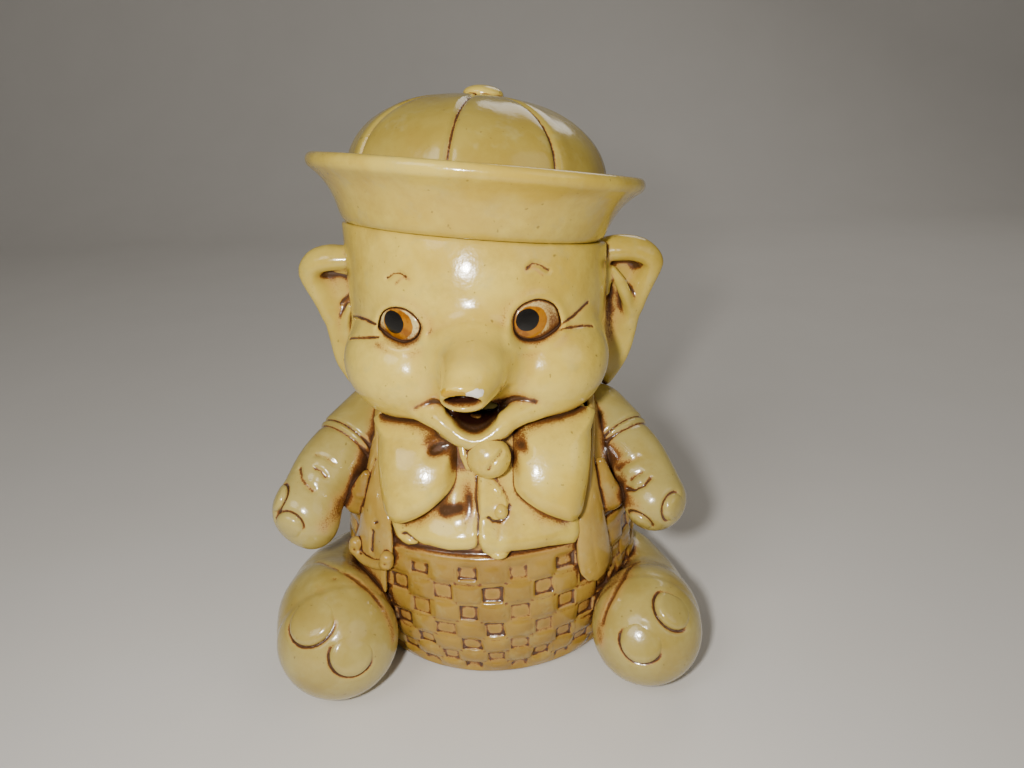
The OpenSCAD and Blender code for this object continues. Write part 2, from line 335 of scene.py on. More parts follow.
def field_normals(field, verts, step=0.5):
    """Outward directions of the surface, from the field's slope."""
    slope = np.stack([field((verts + step * axis).astype(np.float32))
                      - field((verts - step * axis).astype(np.float32)) for axis in np.eye(3)], 1)
    return slope / np.maximum(np.linalg.norm(slope, axis=1, keepdims=True), 1e-9)


def averaged(verts, quads, rounds):
    """The vertices after some rounds of drifting halfway to their neighbours' mean place."""
    start, end = quads.ravel(), np.roll(quads, -1, axis=1).ravel()
    count = np.maximum(np.bincount(start, minlength=len(verts)), 1)
    place = verts.copy()
    for _ in range(rounds):
        mean = np.stack([np.bincount(start, place[end, k], minlength=len(verts))
                         for k in range(3)], 1)
        place = 0.5 * place + 0.5 * mean / count[:, None]
    return place


def new_object(name, verts, quads):
    mesh = bpy.data.meshes.new(name)
    mesh.vertices.add(len(verts))
    mesh.vertices.foreach_set("co", (verts * MM).astype(np.float32).ravel())
    mesh.loops.add(quads.size)
    mesh.loops.foreach_set("vertex_index", quads.astype(np.int32).ravel())
    mesh.polygons.add(len(quads))
    mesh.polygons.foreach_set("loop_start", np.arange(0, quads.size, 4, dtype=np.int32))
    mesh.polygons.foreach_set("use_smooth", np.ones(len(quads), dtype=bool))
    mesh.update(calc_edges=True)
    mesh.validate()
    obj = bpy.data.objects.new(name, mesh)
    bpy.context.collection.objects.link(obj)
    return obj


PIECES = {}
CRUMB_FACES = 60                    # a separate part with fewer faces is a crumb
TOUCH_REACH = 11.0                  # a piece's shade on its neighbours ends at this distance


class Piece:
    """One visible piece: its field, its mesh and the CAD nodes that it stands for."""

    def __init__(self, name, body, slot, nodes, field, low, high, voxel):
        self.name, self.body, self.slot, self.field = name, body, slot, field
        self.low, self.high = np.array(low, float), np.array(high, float)
        voxel = voxel * 1.0
        verts, quads = drop_crumbs(*mesh_field(field, low, high, voxel), CRUMB_FACES)
        self.verts, self.quads, self.voxel = verts, quads, voxel
        self.obj = new_object("glazed_" + name, verts, quads)
        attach(self.obj, body)
        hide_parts(*nodes)
        PIECES[name] = self
        print(f"{name}: {len(quads)} faces")


def near_others(points, piece):
    """Distance from points to the nearest other piece on the same body."""
    d = np.full(len(points), 20.0, dtype=np.float32)
    for other in PIECES.values():
        if other.body != piece.body or other is piece:
            continue
        near = np.all((points > other.low - TOUCH_REACH) & (points < other.high + TOUCH_REACH),
                      axis=1)
        if near.any():
            d[near] = np.minimum(d[near], other.field(points[near]))
    return d


# Strokes of sprayed-on brown or painted shade: (points in mm, half width, strength).
SPRAY_AND_SHADE = [
    # painted shade inside the mouth, under the trunk
    ([[-11, -62, 148], [-4, -64, 146], [2, -62, 148]], 8.5, 1.9),
    ([[-33, -58, 149.5], [-28, -61, 152], [-19, -66, 150.5]], 4.4, 0.6),
    ([[11, -66, 152.5], [18, -65, 153.4], [28, -61, 152.4]], 4.6, 0.36),
    ([[-50, -52, 138], [-34, -58, 135.5], [-24, -63, 134.5]], 3, 0.3),
    ([[16, -63, 134.5], [32, -58, 135], [48, -50, 138]], 3, 0.3),
    ([[-25, -70, 133], [-17, -69, 133], [-12, -70, 124]], 4.4, 1.1),
    ([[11, -70, 126], [12, -69, 133], [17, -69, 132]], 3.8, 1.1),
    ([[-8, -80, 119], [0, -82, 117.5], [8, -80, 120]], 5, 0.5),
    ([[-10, -76, 112], [-9, -76, 100]], 5, 0.55),
    # painted shade in the trunk's nostril
    ([[-11, -96, 168.6], [-3.6, -96, 168.4]], 4.2, 1.7),
    # painted shade at the bottom of the mouth
    ([[-10, -67, 141.5], [-4, -69, 140.5], [2, -67, 141.5]], 5, 1.9),
    # painted shade deep in the mouth, over the head's floor
    ([[-14, -49, 139], [-2, -50, 139], [10, -49, 139]], 7, 1.8),
    ([[-20, -76, 101], [-13, -78, 103], [-8.5, -79, 106]], 3, 1.9),
    ([[-12, -78, 121], [-9, -80, 117], [-6, -81, 112]], 3.6, 0.8),
    ([[-84, -62, 87], [-79, -55, 90], [-74, -47, 95]], 6, 0.65),
    ([[75, -58, 88], [70, -52, 91]], 6, 0.75),
    ([[56, -24, 124], [60, -31, 113], [66, -38, 106]], 6, 0.8),
    ([[-62, -34, 120], [-66, -40, 108], [-71, -45, 100]], 4, 0.7),
    # painted shade on the trunk's side towards +x, turned away from the light
    ([[8, -84, 177], [6.5, -92, 172]], 8, 0.22),
    ([[-72, -68.5, 60.5], [-62, -74.5, 56.5], [-55, -79.5, 50], [-50, -86, 34]], 3.2, 0.6),
    ([[78, -46, 48], [67, -70, 54.5], [61, -79, 50.5], [53, -89, 32]], 5, 0.6),
    ([[-70, 6, 199], [-78, 7, 199]], 4, 0.45),
    ([[-68, 5, 190], [-68, 7, 170]], 4, 0.45),
    ([[67, 4, 198], [66, 6, 178], [66, 7, 160]], 4.5, 0.5),
    ([[-48, -68, 79], [-25, -80, 79], [0, -84, 77.5], [22, -81, 78], [43, -72, 76]], 4, 0.6)]


def measure_relief(piece):
    """Stores on each vertex how far it lies in a crease at a fine and a broad scale, how close
    another piece is, and how much brown or painted shade is sprayed on."""
    verts = piece.verts
    normals = field_normals(piece.field, verts)
    relief = {}
    for name, reach, full in (("fine", 0.9, 0.30), ("broad", 3.0, 0.9)):
        rounds = max(1, round(4 * (reach / piece.voxel) ** 2))
        sunk = ((averaged(verts, piece.quads, rounds) - verts) * normals).sum(1)
        relief[name] = np.clip(sunk / full, -1, 1.6)
    touch = np.zeros(len(verts))
    for reach, share in ((0.7, 0.5), (2.0, 0.45), (5.0, 0.32), (TOUCH_REACH, 0.16)):
        at = (verts + normals * reach).astype(np.float32)
        touch += share * np.clip(1 - near_others(at, piece) / reach, 0, 1.3)
    relief["touch"] = touch
    spray_and_shade = np.zeros(len(verts))
    for row, width, strength in SPRAY_AND_SHADE:
        patch(spray_and_shade, verts, row, 3 * width,
              lambda e, q: np.maximum(e, strength * bell(path_distance(q, row), width)))
    relief["spray_and_shade"] = spray_and_shade
    for name, values in relief.items():
        layer = piece.obj.data.attributes.new(name, "FLOAT", "POINT")
        layer.data.foreach_set("value", values.astype(np.float32))


# ---------- the torso ----------

def torso_radius(z):
    h = np.where(z < HIP_Z, LOW_H, HIGH_H)
    return TORSO_R * np.sqrt(np.maximum(1 - ((z - HIP_Z) / h) ** 2, 0.03))


def torso_side(p):
    """Distance to the torso's round wall, without its base and top."""
    x, y, z = p.T
    h = np.where(z < HIP_Z, LOW_H, HIGH_H)
    radius = torso_radius(z)
    slope = TORSO_R ** 2 * (HIP_Z - z) / (h * h * radius)
    return (np.hypot(x, y) - radius) / np.sqrt(1 + slope * slope)


WEAVE_TURNS = 40                    # columns of the basket weave round the trousers
WEAVE_ROW_Z = [-4, 5.5, 13, 22, 32.5, 44, 55.5, 67.5, 79.5, 91.5]
CELL_U, CELL_V = 13.0, 11.6         # width and height of a woven square
WINDOW_U, WINDOW_V = 5.5, 4.7       # half size of a sunk square


def azimuth(p):
    """Degrees round the jar's axis, from the front towards +X."""
    return np.degrees(np.arctan2(p[:, 0], -p[:, 1]))


def scatter(a, b, seed):
    """A repeatable random number from 0 to 1 for each pair of whole numbers."""
    value = np.sin(a * 12.9898 + b * 78.233 + seed * 37.719) * 43758.5453
    return value - np.floor(value)


def weave(p):
    """Relief of the woven trousers: positive where the clay is sunk."""
    around = (azimuth(p) - 0.8) / (360 / WEAVE_TURNS)
    up = np.interp(p[:, 2], WEAVE_ROW_Z, np.arange(len(WEAVE_ROW_Z)))
    column, row = np.round(around), np.round(up)
    u, v = (around - column) * CELL_U, (up - row) * CELL_V
    sunk = (column + row) % 2 == 0
    sway_u, sway_v, wide, tall, lean = (scatter(column, row, seed) - 0.5 for seed in range(1, 6))
    edge_u = np.abs(u - 0.9 * sway_u + 0.10 * lean * v) - (WINDOW_U + 0.8 * wide)
    edge_v = np.abs(v - 0.9 * sway_v + 0.10 * lean * u) - (WINDOW_V + 0.7 * tall)
    edge = np.maximum(edge_u, edge_v)
    depth = 2.0 + 0.9 * (scatter(column, row, 6) - 0.4)
    window = depth * (1 - ramp(edge, -0.7, 0.4)) - 0.3 * (1 - ramp(edge, -4.5, -0.8))
    swell = (0.75 * np.cos(math.pi * np.clip(u / CELL_U, -0.5, 0.5))
             * np.cos(math.pi * np.clip(v / CELL_V, -0.5, 0.5)))
    ridge = 0.75 * bell(np.abs(v) - CELL_V / 2, 1.1) + 0.45 * bell(np.abs(u) - CELL_U / 2, 1.0)
    return np.where(sunk, window, -swell + 0.1) + ridge * (1 - (1 - ramp(edge, -0.7, 0.4)) * sunk)


# Puffed shirt cloth between brace and arm, and folds of the trousers.
POUCHES = [[[57.5, -50, 111, 2.5], [60, -49.5, 99, 5], [62.8, -46.4, 88.8, 7.6]],
           [[-62.5, -46, 106, 2.4], [-66.4, -43.4, 96, 6], [-69.6, -39.4, 88.4, 8.2]]]
TROUSER_FOLDS = [[[79, -27, 54.5], [75.5, -37, 58], [71.8, -42.5, 57.6], [68, -48.6, 52],
                  [65.4, -51.5, 43.5]],
                 [[39.5, -73, 76.2], [42.5, -71.5, 73.5], [42.4, -72, 66], [43.2, -71.5, 61.5]],
                 [[-80, -22, 66], [-76, -32, 62], [-71.5, -42, 56], [-67, -49, 47]]]


def torso(p):
    side = torso_side(p)
    near = np.abs(side) < 8
    q = p[near]
    az = azimuth(q)
    waist = 76.3 + 2.2 * ramp(np.abs(az), 40, 75) - 1.5 * bell(az + 36, 8)
    over_waist = q[:, 2] - waist
    trousers = 1 - ramp(over_waist, -0.9, 0.9)
    relief = weave(q) * (1 - ramp(over_waist, -8, -3)) * ramp(q[:, 2], 2, 6)
    gap = 1.3 * bell(over_waist - 2.4, 2.4) * (0.45 + 0.55 * (1 - ramp(np.abs(az), 45, 70)))
    side[near] += relief * trousers + (1 - trousers) * 1.2 + gap * (1 - trousers)
    for row in POUCHES:
        join_chain(side, p, row, 2.5)
    for row in TROUSER_FOLDS:
        press_line(side, p, row, 1.3, 1.4)
    d = smooth_max(side, -p[:, 2], 3)
    d = smooth_max(d, p[:, 2] - NECK_Z, 12)
    r = np.hypot(p[:, 0], p[:, 1])
    hollow = smooth_max(torso_side(p) + WALL, FLOOR - p[:, 2], 10)
    hollow = smooth_max(hollow, p[:, 2] - NECK_Z + SHELF, 6)
    hollow = smooth_min(hollow, smooth_max(r - PASSAGE_R, NECK_Z - 20 - p[:, 2], 2), 3)
    return smooth_max(d, -hollow, 1.5)


# ---------- the head ----------

def head_drum(p):
    """Rounded drum: upright sides over a round jaw, leaning back a little at the forehead."""
    x, y, z = p[:, 0] - HEAD_X, p[:, 1], p[:, 2]
    lean = 0.0062 * np.maximum(z - 193, 0) ** 2 * ramp(-y, 5, 55)
    r = np.hypot(x, y) + lean
    return corner(r - (HEAD_R - JAW_R), CHIN_Z + JAW_R - z) - JAW_R


TRUNK = [[-3.5, -56, 175.5, 19], [-2.6, -70, 175, 17.2], [-2.6, -81, 174.6, 15],
         [-4.4, -90, 172.6, 12.4], [-6.2, -96, 170.6, 10.6], [-7.6, -101, 168.2, 9.6]]
TRUNK_CURVE = curve(TRUNK, 8)
TIP = [-7.2, -101.0, 167.6]         # middle of the trunk's open end
TIP_TURN = (126, 0, -5)             # the open end faces forwards and down
LIP = [[-36, -56, 150, 5], [-27, -63, 147.8, 6], [-20.5, -68.2, 146.4, 6], [-15.4, -72, 142.8, 5],
       [-10.4, -74.8, 139, 4.4], [-4.3, -76, 137, 4.2], [1.6, -75.4, 138.4, 4.3],
       [6.9, -73.4, 141.8, 4.8], [12, -70, 145.2, 5.6], [18, -66.4, 147.2, 6],
       [25, -62.6, 147.8, 6], [34, -56, 149.6, 5]]
LIP_CURVE = curve(LIP, 3)
EYE_L = [[-48.2, 186.6], [-45.2, 193.2], [-40.2, 196.6], [-33.6, 196.8], [-28.6, 193.4],
         [-26.8, 188.9], [-29.8, 183.4], [-35.5, 181], [-42.1, 182.3], [-46.6, 184.6]]
EYE_R = [[15.6, 191.5], [17, 195.6], [20.8, 198.6], [27.6, 199.6], [34.2, 196], [37, 190],
         [37.4, 185.4], [33, 182.6], [27, 180.7], [20, 181.7], [16, 185.8]]
EYE_OUTLINES = {-1: loop(EYE_L, 3), 1: loop(EYE_R, 3)}
BROW_LINES = [[[-41.6, 209.9], [-38.2, 212.2], [-35.2, 212.9], [-32.6, 211.8]],
              [[22.8, 214.2], [25, 215.7], [28.3, 214.8], [32.3, 211.7]]]
CROW_LINES = [[[-64.5, -25, 184.2], [-60, -34, 186.6], [-55.6, -41.5, 187.8],
               [-49.3, -48.8, 187.2]],
              [[-62.4, -38, 175.8], [-58.5, -45, 178.6], [-53.9, -50, 180.6], [-47.1, -54.5, 182]],
              [[38.1, -55.2, 186.3], [44, -50.2, 188.3], [48.5, -45, 190.2], [52.1, -40, 191.7]],
              [[37.2, -57.2, 184], [43.7, -53, 183.7], [48.7, -48.5, 182.4], [52.5, -44.5, 180.6]]]
SMILE_LINES = [[[-31, 151], [-28, 152.4], [-23, 153], [-18.8, 151.2], [-16.4, 147.6]],
               [[9, 151.4], [11.5, 152.6], [14.6, 153.6], [20, 153.8], [24, 153]]]
MOUTH = loop([[-17.6, 151], [-14.8, 147], [-11.4, 143.4], [-8, 141.4], [-4, 140.6], [0.4, 141.6],
              [4.4, 144.6], [6.6, 147.6], [5, 150.8], [-1, 156], [-13, 158]], 3)


def head_skin(p):
    """The head's closed outside, before the rim and mouth are cut."""
    d = head_drum(p)
    for centre, radii in (([-37.4, -30.5, 165], [32, 34, 26]), ([30.6, -33.5, 165], [32, 34, 26])):
        join_egg(d, p, centre, radii, 7)
    for centre, radii in (([-35, -39, 161.5], [28, 30, 25]), ([30, -40, 161], [28, 30, 25])):
        join_egg(d, p, centre, radii, 7)
    join_egg(d, p, [-3.4, -52, 171], [28, 21, 20], 8)
    join_egg(d, p, [-4.0, -56, 181], [21, 17.0, 12], 6)
    press_line(d, p, [[-22, -66, 187.6], [-15, -69.4, 191.4], [-4, -71, 192.6], [6, -69.6, 191.4],
                      [12, -67, 188.5]], 2.6, 0.9)
    return d


def on_skin(row):
    """Moves given points onto the head's outside."""
    row = points_of(row)
    for _ in range(6):
        slope = field_normals(head_skin, row, 0.3)
        row = (row - slope * head_skin(row)[:, None]).astype(np.float32)
    return row


CROW_LINES = [on_skin(row) for row in CROW_LINES]


def head(p):
    d = head_skin(p)
    join_chain(d, p, TRUNK_CURVE, 12)

    def open_end(e, q):
        x, y, z = ((q - points_of(TIP)) @ turn(TIP_TURN)).T
        nostril = (np.hypot(x / 8.0, (y + 0.6) / 5.4) - 1) * 5.4
        return smooth_max(smooth_max(e, z, 2.4), -np.maximum(nostril, -z - 7), 1.0)
    patch(d, p, [TIP], 26, open_end)
    join_egg(d, p, [-4, -63, 138.5], [19, 13, 6.5], 5)
    join_chain(d, p, LIP_CURVE, 4.5)
    for row in SMILE_LINES:
        press_front(d, p, row, 2.8, 0.85, -40)
    for row in BROW_LINES:
        press_front(d, p, row, 0.85, 1.2, -40)
    for row in CROW_LINES:
        press_line(d, p, row, 0.8, 1.3)
    for shape in EYE_OUTLINES.values():
        def socket(e, q):
            edge = outline(q[:, 0], q[:, 2], shape)
            lid = -0.7 * bell(edge - 2.2, 1.9)
            return smooth_max(e + lid, -np.maximum(edge, -(head_skin(q) + 3.6)), 1.6)
        cx, cz = shape.mean(0)
        patch(d, p, [[cx, -57, cz]], 22, socket)
    # the open mouth, the hollow and the rim
    hole = np.maximum(outline(p[:, 0], p[:, 2], MOUTH), p[:, 1] + 40)
    d = smooth_max(d, -hole, 1.4)
    x, y, z = p[:, 0] - HEAD_X, p[:, 1], p[:, 2]
    r = np.hypot(x, y)
    hollow = corner(r - (HOLLOW_R - HOLLOW_ROUND), CHIN_Z + WALL + HOLLOW_ROUND - z) - HOLLOW_ROUND
    rim_r, rim_z = rim_round(p)
    cone = np.maximum(rim_r - MOUTH_R - 8.5 * ramp(-rim_z, CONE_START, 36), -rim_z - CONE_END)
    hollow = np.maximum(hollow, rim_z + DRUM_START)
    hollow = smooth_min(hollow, np.maximum(cone, rim_z + CONE_START), 5)
    hollow = smooth_min(hollow, np.maximum(rim_r - MOUTH_R, -rim_z - OPENING_END), 1.5)
    hollow = smooth_min(hollow, np.maximum(np.hypot(p[:, 0], y) - PASSAGE_R, z - CHIN_Z - 10), 2)
    d = smooth_max(d, rim_z, 1.6)
    d = smooth_max(d, -hollow, 1.6)
    foot = np.maximum(np.hypot(p[:, 0], y) - FOOT_R, z - NECK_Z - 0.3)
    return np.maximum(d, -foot)


EYE_DOMES = {-1: [-37.0, 189.2], 1: [26.5, 190.2]}


def eye(side):
    shape = EYE_OUTLINES[side]
    cx, cz = EYE_DOMES[side]

    def field(p):
        middle = 1 - ((p[:, 0] - cx) / 12.5) ** 2 - ((p[:, 2] - cz) / 10.5) ** 2
        dome = 1.7 * np.maximum(middle, -0.5)
        front = head_drum(p) + 0.8 - dome
        d = smooth_max(front, outline(p[:, 0], p[:, 2], shape) - 0.15, 1.6)
        return np.maximum(d, -(head_drum(p) + 3.4))
    return field


# ---------- ears ----------

EAR_L = [[-60, 213], [-71.6, 213.2], [-79.7, 214.2], [-89, 211.9], [-95, 205.9], [-96.4, 200],
         [-93.7, 193.6], [-88.4, 181.6], [-85.7, 165.3], [-83.6, 150.5], [-80.4, 142.6],
         [-75.5, 135], [-68, 134], [-58, 150]]
EAR_R = [[56, 211], [64.2, 212.5], [73.9, 214.1], [85.9, 211.8], [93.6, 205.6], [96.2, 199.3],
         [93.3, 193], [87.2, 179.6], [83.4, 161.6], [81, 151.6], [78, 144], [73.7, 136.8],
         [67.5, 129.5], [62, 134], [54, 150]]


def ear(side):
    shape = loop(EAR_R if side > 0 else EAR_L, 3)
    if side > 0:
        roll = [[57, 4, 205, 5], [66, 3.5, 206.4, 5.2], [77, 2.5, 206.8, 5.2],
                [85.5, 3, 204.2, 4.8], [89.6, 4, 198.6, 4], [87.5, 6, 189.5, 3],
                [83, 7.5, 176.5, 2]]
        hook = [[59, 2, 206, 5], [62.6, 1, 200, 4.6], [64.6, 1.5, 193, 3.6], [66, 3.5, 185, 2]]
        finger = [[69.4, 2.4, 196.6, 2], [73, 2, 190.5, 3], [76.2, 3, 183, 3.2],
                  [78.8, 5, 174.5, 2.6], [80, 7, 167, 1.2]]
        folds = [([[74, 2, 199.6], [79, 2, 200.6], [85, 3, 199.4]], 1, 0.8)]
    else:
        roll = [[-57, 4, 206, 5], [-68, 3.5, 206.6, 5.2], [-79, 2.5, 206.8, 5.2],
                [-86.6, 3, 204.6, 4.8], [-90.2, 4, 199, 4], [-88.4, 6, 190, 3],
                [-84.4, 7.5, 178, 2]]
        hook = [[-61, 4, 204, 4.2], [-66, 4, 202, 3.4], [-71, 5, 201, 2.4], [-76, 6, 201, 1.4]]
        finger = [[-71.5, 4.5, 181, 1.8], [-74.5, 5.5, 173, 2], [-75.5, 7, 164, 1.2]]
        folds = [([[-71, 6, 197.4], [-76, 6.5, 198.6], [-82, 6.5, 198.4]], 1.6, 0.6),
                 ([[-71.5, 7, 187.2], [-75.2, 7.5, 184], [-79.4, 8, 179.6]], 1, 0.9)]
    roll, hook, finger = curve(roll, 3), curve(hook, 3), curve(finger, 3)

    def field(p):
        x, y, z = p[:, 0], p[:, 1], p[:, 2]
        edge = outline(x, z, shape)
        front = 3.6 + 4.4 * ramp(-edge, 0, 15) * ramp(z, 138, 198)
        back = 14.0 - 3.5 * ramp(-edge, 12, 0)
        d = smooth_max(edge, front - y, 5.0)
        d = smooth_max(d, y - back, 4.0)
        join_chain(d, p, roll, 7)
        join_chain(d, p, hook, 3)
        join_chain(d, p, finger, 3)
        for row, width, depth in folds:
            press_line(d, p, row, width, depth)
        root = ([58 * side, 9, 204, 7], [60 * side, 9, 172, 7], [62 * side, 9, 146, 6])
        join_chain(d, p, root, 4)
        return smooth_max(d, -(head_drum(p) + 3), 1)
    return field


# ---------- arms ----------

ARMS = {1: [[60, -6, 116, 17], [69.5, -17, 108.6, 16.6], [78, -28, 101, 16.4],
            [83, -38, 93.8, 15.9], [87, -47, 87.6, 15.2]],
        -1: [[-62, -6, 120, 17], [-73, -19, 112, 17.7], [-83, -32, 104, 18],
             [-89.8, -42, 96.4, 16.6], [-94.2, -50, 89, 15.8]]}
ARM_CURVES = {side: curve(row, 4) for side, row in ARMS.items()}
SLEEVE = {1: [[60, -6, 116], [78, -28, 101], 17.8, 22.6],
          -1: [[-62, -6, 120], [-83, -32, 104], 20, 24.2]}
ARM_LINES = {
    -1: [([[-87.3, -43.7, 117], [-82.7, -44.9, 116.6], [-78.3, -46.7, 113.3]], 1.2, 0.5),
         ([[-87, -49.4, 112.2], [-84.4, -50.2, 111.3], [-81.9, -51.6, 108.7]], 0.9, 1),
         ([[-95.6, -47, 111], [-94.1, -52.2, 108.7], [-91.1, -55.6, 106.4], [-87.8, -57.3, 104.1]],
          1.0, 1.0)],
    1: [([[67.5, -41.9, 102.2], [70.6, -43, 105.9], [74.9, -43.9, 108.3], [77.8, -43.5, 109.7]],
         1.2, 0.9),
        ([[73.4, -49.7, 100.3], [76.3, -49.9, 102.8], [78.1, -49.9, 103.9]], 0.9, 1),
        ([[71.3, -50.2, 94.8], [75, -54, 95.7], [79.1, -55.2, 99], [82.4, -53.4, 102.2]], 1, 1.1)]}
# Fingertips: centre, radius, and the side on which the edge stands out.
NAILS = {-1: [([-107.6, -55, 99.8], 7.6, [0.6, -0.5, 0.5]), ([-99.4, -63.6, 88], 8, [0, -0.2, 1])],
         1: [([93.4, -59.6, 88.6], 7.4, [-0.9, -0.2, 0.5]),
             ([77.2, -58.2, 80.6], 6.6, [0.3, -0.2, 1])]}


def arm_body(p, side):
    d = chain(p, ARM_CURVES[side])
    if side < 0:
        join_egg(d, p, [-91.0, -54.5, 84.5], [13.2, 13, 14.5], 6)
        join_egg(d, p, [-96.5, -52, 90], [13.5, 13.5, 14], 5)
    else:
        join_egg(d, p, [84.5, -51.5, 86.5], [14, 13, 13.5], 6)
    return d


def arm(side):
    a, b, hem, crease = SLEEVE[side]
    a, b = points_of(a), points_of(b)
    way = (b - a) / np.linalg.norm(b - a)

    def field(p):
        d = arm_body(p, side)
        s = (p - a) @ way
        inner = ramp(-side * p[:, 0] + side * (a[0] + 0.55 * s), -6, 12)
        fold = crease - 2.6 * inner
        d -= 1.6 * (1 - ramp(s, hem - 0.8, hem + 0.5)) + 1.3 * bell(s - (hem + fold) / 2 - 0.3, 1.5)
        d += (0.9 + 1.3 * inner) * bell(s - fold, 1.2) + (0.6 + 0.8 * inner) * bell(s - hem, 0.8)
        for row, width, depth in ARM_LINES[side]:
            press_line(d, p, row, width + 0.3, 1.6 * depth)
        if side < 0:
            press_spot(d, p, [-86.5, -50, 108.5], 5.0, -0.9)
            press_spot(d, p, [-86.0, -46, 114.5], 3.0, -0.6)
        else:
            press_spot(d, p, [72.6, -46.5, 103.2], 2.6, -0.8)
            press_spot(d, p, [76.5, -51.5, 100.6], 3.4, -0.9)
        for mound in NAILS[side]:
            press_ring(d, p, *mound, 1.3)
        return d
    return field


# ---------- legs ----------

LEGS = {-1: [[-84, -8, 26, 19], [-88.5, -34, 33, 20], [-86, -56, 33, 25.2],
             [-79.2, -78.5, 30.6, 30.4]],
        1: [[80, -12, 23, 18], [86, -37, 24, 19], [82.4, -58, 26, 23.6], [78.6, -78, 28.6, 27.8]]}
HIPS = {-1: ([-68, -4, 28], [18, 18, 20]), 1: ([66, -4, 28], [18, 18, 20])}
INSTEPS = {-1: ([-83, -66, 34], [25, 21, 25]), 1: ([80.5, -67, 29], [23, 19, 24])}
LEG_CURVES = {side: curve(row, 6) for side, row in LEGS.items()}
# Pads under the feet: centre, radius, and the side on which the edge stands out.
PADS = {-1: [([-86.6, -93, 52.6], 12.2, [0.1, -0.4, -1]),
             ([-66.6, -103.0, 40.0], 10.9, [-0.5, -0.3, -0.8])],
        1: [([89.4, -90, 49.6], 10.2, [-0.9, -0.3, -0.4]),
            ([72.0, -101.4, 40.0], 10.6, [-0.5, -0.3, -0.8])]}
THIGH_FOLDS = {-1: [[-92, -51, 58], [-83, -61, 61.5], [-72, -68.5, 60.5], [-62, -74.5, 56.5],
                    [-55, -79.5, 50]],
               1: [[84, -34, 44], [76, -49, 49], [67, -70, 54.5], [61, -79, 50.5], [55, -87, 40]]}


def leg_body(p, side):
    d = chain(p, LEG_CURVES[side])
    join_egg(d, p, *HIPS[side], 10)
    join_egg(d, p, *INSTEPS[side], 10)
    press_line(d, p, THIGH_FOLDS[side], 1.4, 0.9)
    return d


def leg(side):
    def field(p):
        d = leg_body(p, side)
        for mound in PADS[side]:
            press_ring(d, p, *mound, 1.5)
        if side < 0:
            press_spot(d, p, [-78.5, -72.5, 62.0], 1.6, 0.8)
            press_line(d, p, [[-86, -77, 60.6], [-81.7, -83, 59], [-75.4, -87.7, 56.6]], 3, 0.5)
        else:
            press_line(d, p, [[66.5, -96.5, 48.6], [70.5, -97.4, 49.6], [74, -98.6, 49]], 1.1, 1.4)
            press_line(d, p, [[77.4, -76.9, 60.4], [79.3, -76.2, 60.9], [81.2, -76.8, 60.2]],
                       1.2, 0.9)
        return smooth_max(d, -p[:, 2], 3)
    return field


def pad(body, p, centre, radius, toward, height, k):
    """A low mound on a limb; it stands out on one side and sinks into the limb on the other."""
    toward = points_of(toward) / np.linalg.norm(toward)
    lean = (p - points_of(centre)) @ toward / radius
    mound = smooth_max(body - height * (0.45 + 0.75 * lean), ball(p, centre, radius), k)
    return np.maximum(mound, -(body + 1.8))


def pads(mounds, body, height, k):
    def field(p):
        d = far(p)
        for centre, radius, toward in mounds:
            patch(d, p, [centre], radius + 9,
                  lambda e, q: np.minimum(e, pad(body(q), q, centre, radius, toward, height, k)))
        return d
    return field


def toenails(side):
    return pads(PADS[side], lambda q: leg_body(q, side), 2.2, 3)


def hand_nails(p):
    right, left = (pads(NAILS[side], lambda q: arm_body(q, side), 1.6, 2.4)(p) for side in (-1, 1))
    return np.minimum(right, left)


# ---------- the bow and shirt ----------

LOOP_SHAPES = {
    -1: [[-53, 141], [-52.8, 132], [-52.8, 121.3], [-51.3, 106], [-49.7, 98.4], [-44.6, 94.2],
         [-36.3, 96.6], [-27.4, 101.8], [-18.4, 109], [-12.6, 115.2], [-9.4, 121.4], [-8.5, 130],
         [-8.5, 141]],
    1: [[52.4, 141], [52.2, 131.4], [51, 120], [47.9, 104.5], [45.7, 96], [40.4, 92.8],
        [33.6, 95.2], [23.3, 100.8], [13.4, 108.4], [9.4, 115.4], [8.2, 121.4], [8, 130], [8, 141]]}


def loop_front(p, side):
    """How far a point lies in front of a bow loop's broad face."""
    x, z = np.abs(p[:, 0]), p[:, 2]
    front = (-86.0 + 0.0125 * np.maximum(z - 99, 0) ** 2 + 0.011 * (x - 29) ** 2
             + 7.0 * bell(x - 10, 5.5) * ramp(z, 104, 120))
    return (front - p[:, 1]) / np.sqrt(1 + (0.025 * np.maximum(z - 99, 0)) ** 2)


# Hollows where the loops dive behind the knot.
POCKETS = {-1: [([-19, -75.5, 132.4], [8.5, 8.5, 4.4], (0, -14, 0)),
                ([-12.6, -78, 126], [3.4, 9, 9], (0, 12, 0))],
           1: [([15, -76.5, 132.4], [7, 8.5, 5], (0, 24, 0)),
               ([11.6, -78, 126], [2.6, 8, 7], (0, -8, 0))]}


def bow_loop(side):
    shape = loop(LOOP_SHAPES[side], 3)

    def field(p):
        edge = outline(p[:, 0], p[:, 2], shape)
        d = round_max(edge, loop_front(p, side), 11.5)
        for centre, radii, angles in POCKETS[side]:
            cut_egg(d, p, centre, radii, 3, angles)
        return np.maximum(d, -(torso_side(p) + 5))
    return field


def bow_knot(p):
    d = egg(p, [2.0, -77.0, 129.4], [10.4, 9.4, 10.2])
    press_line(d, p, [[8.6, -82.5, 134.6], [6, -85.1, 132.6], [3.6, -86.2, 130.4],
                      [2.2, -86.3, 127.6]],
               1.1, 1.5)
    press_spot(d, p, [-2.5, -85, 126.5], 3.5, -0.4)
    join_chain(d, p, [[-10.6, -74, 138, 2.2], [-9.4, -78, 131, 1.9], [-8, -80, 125.4, 1]], 0.8)
    return d


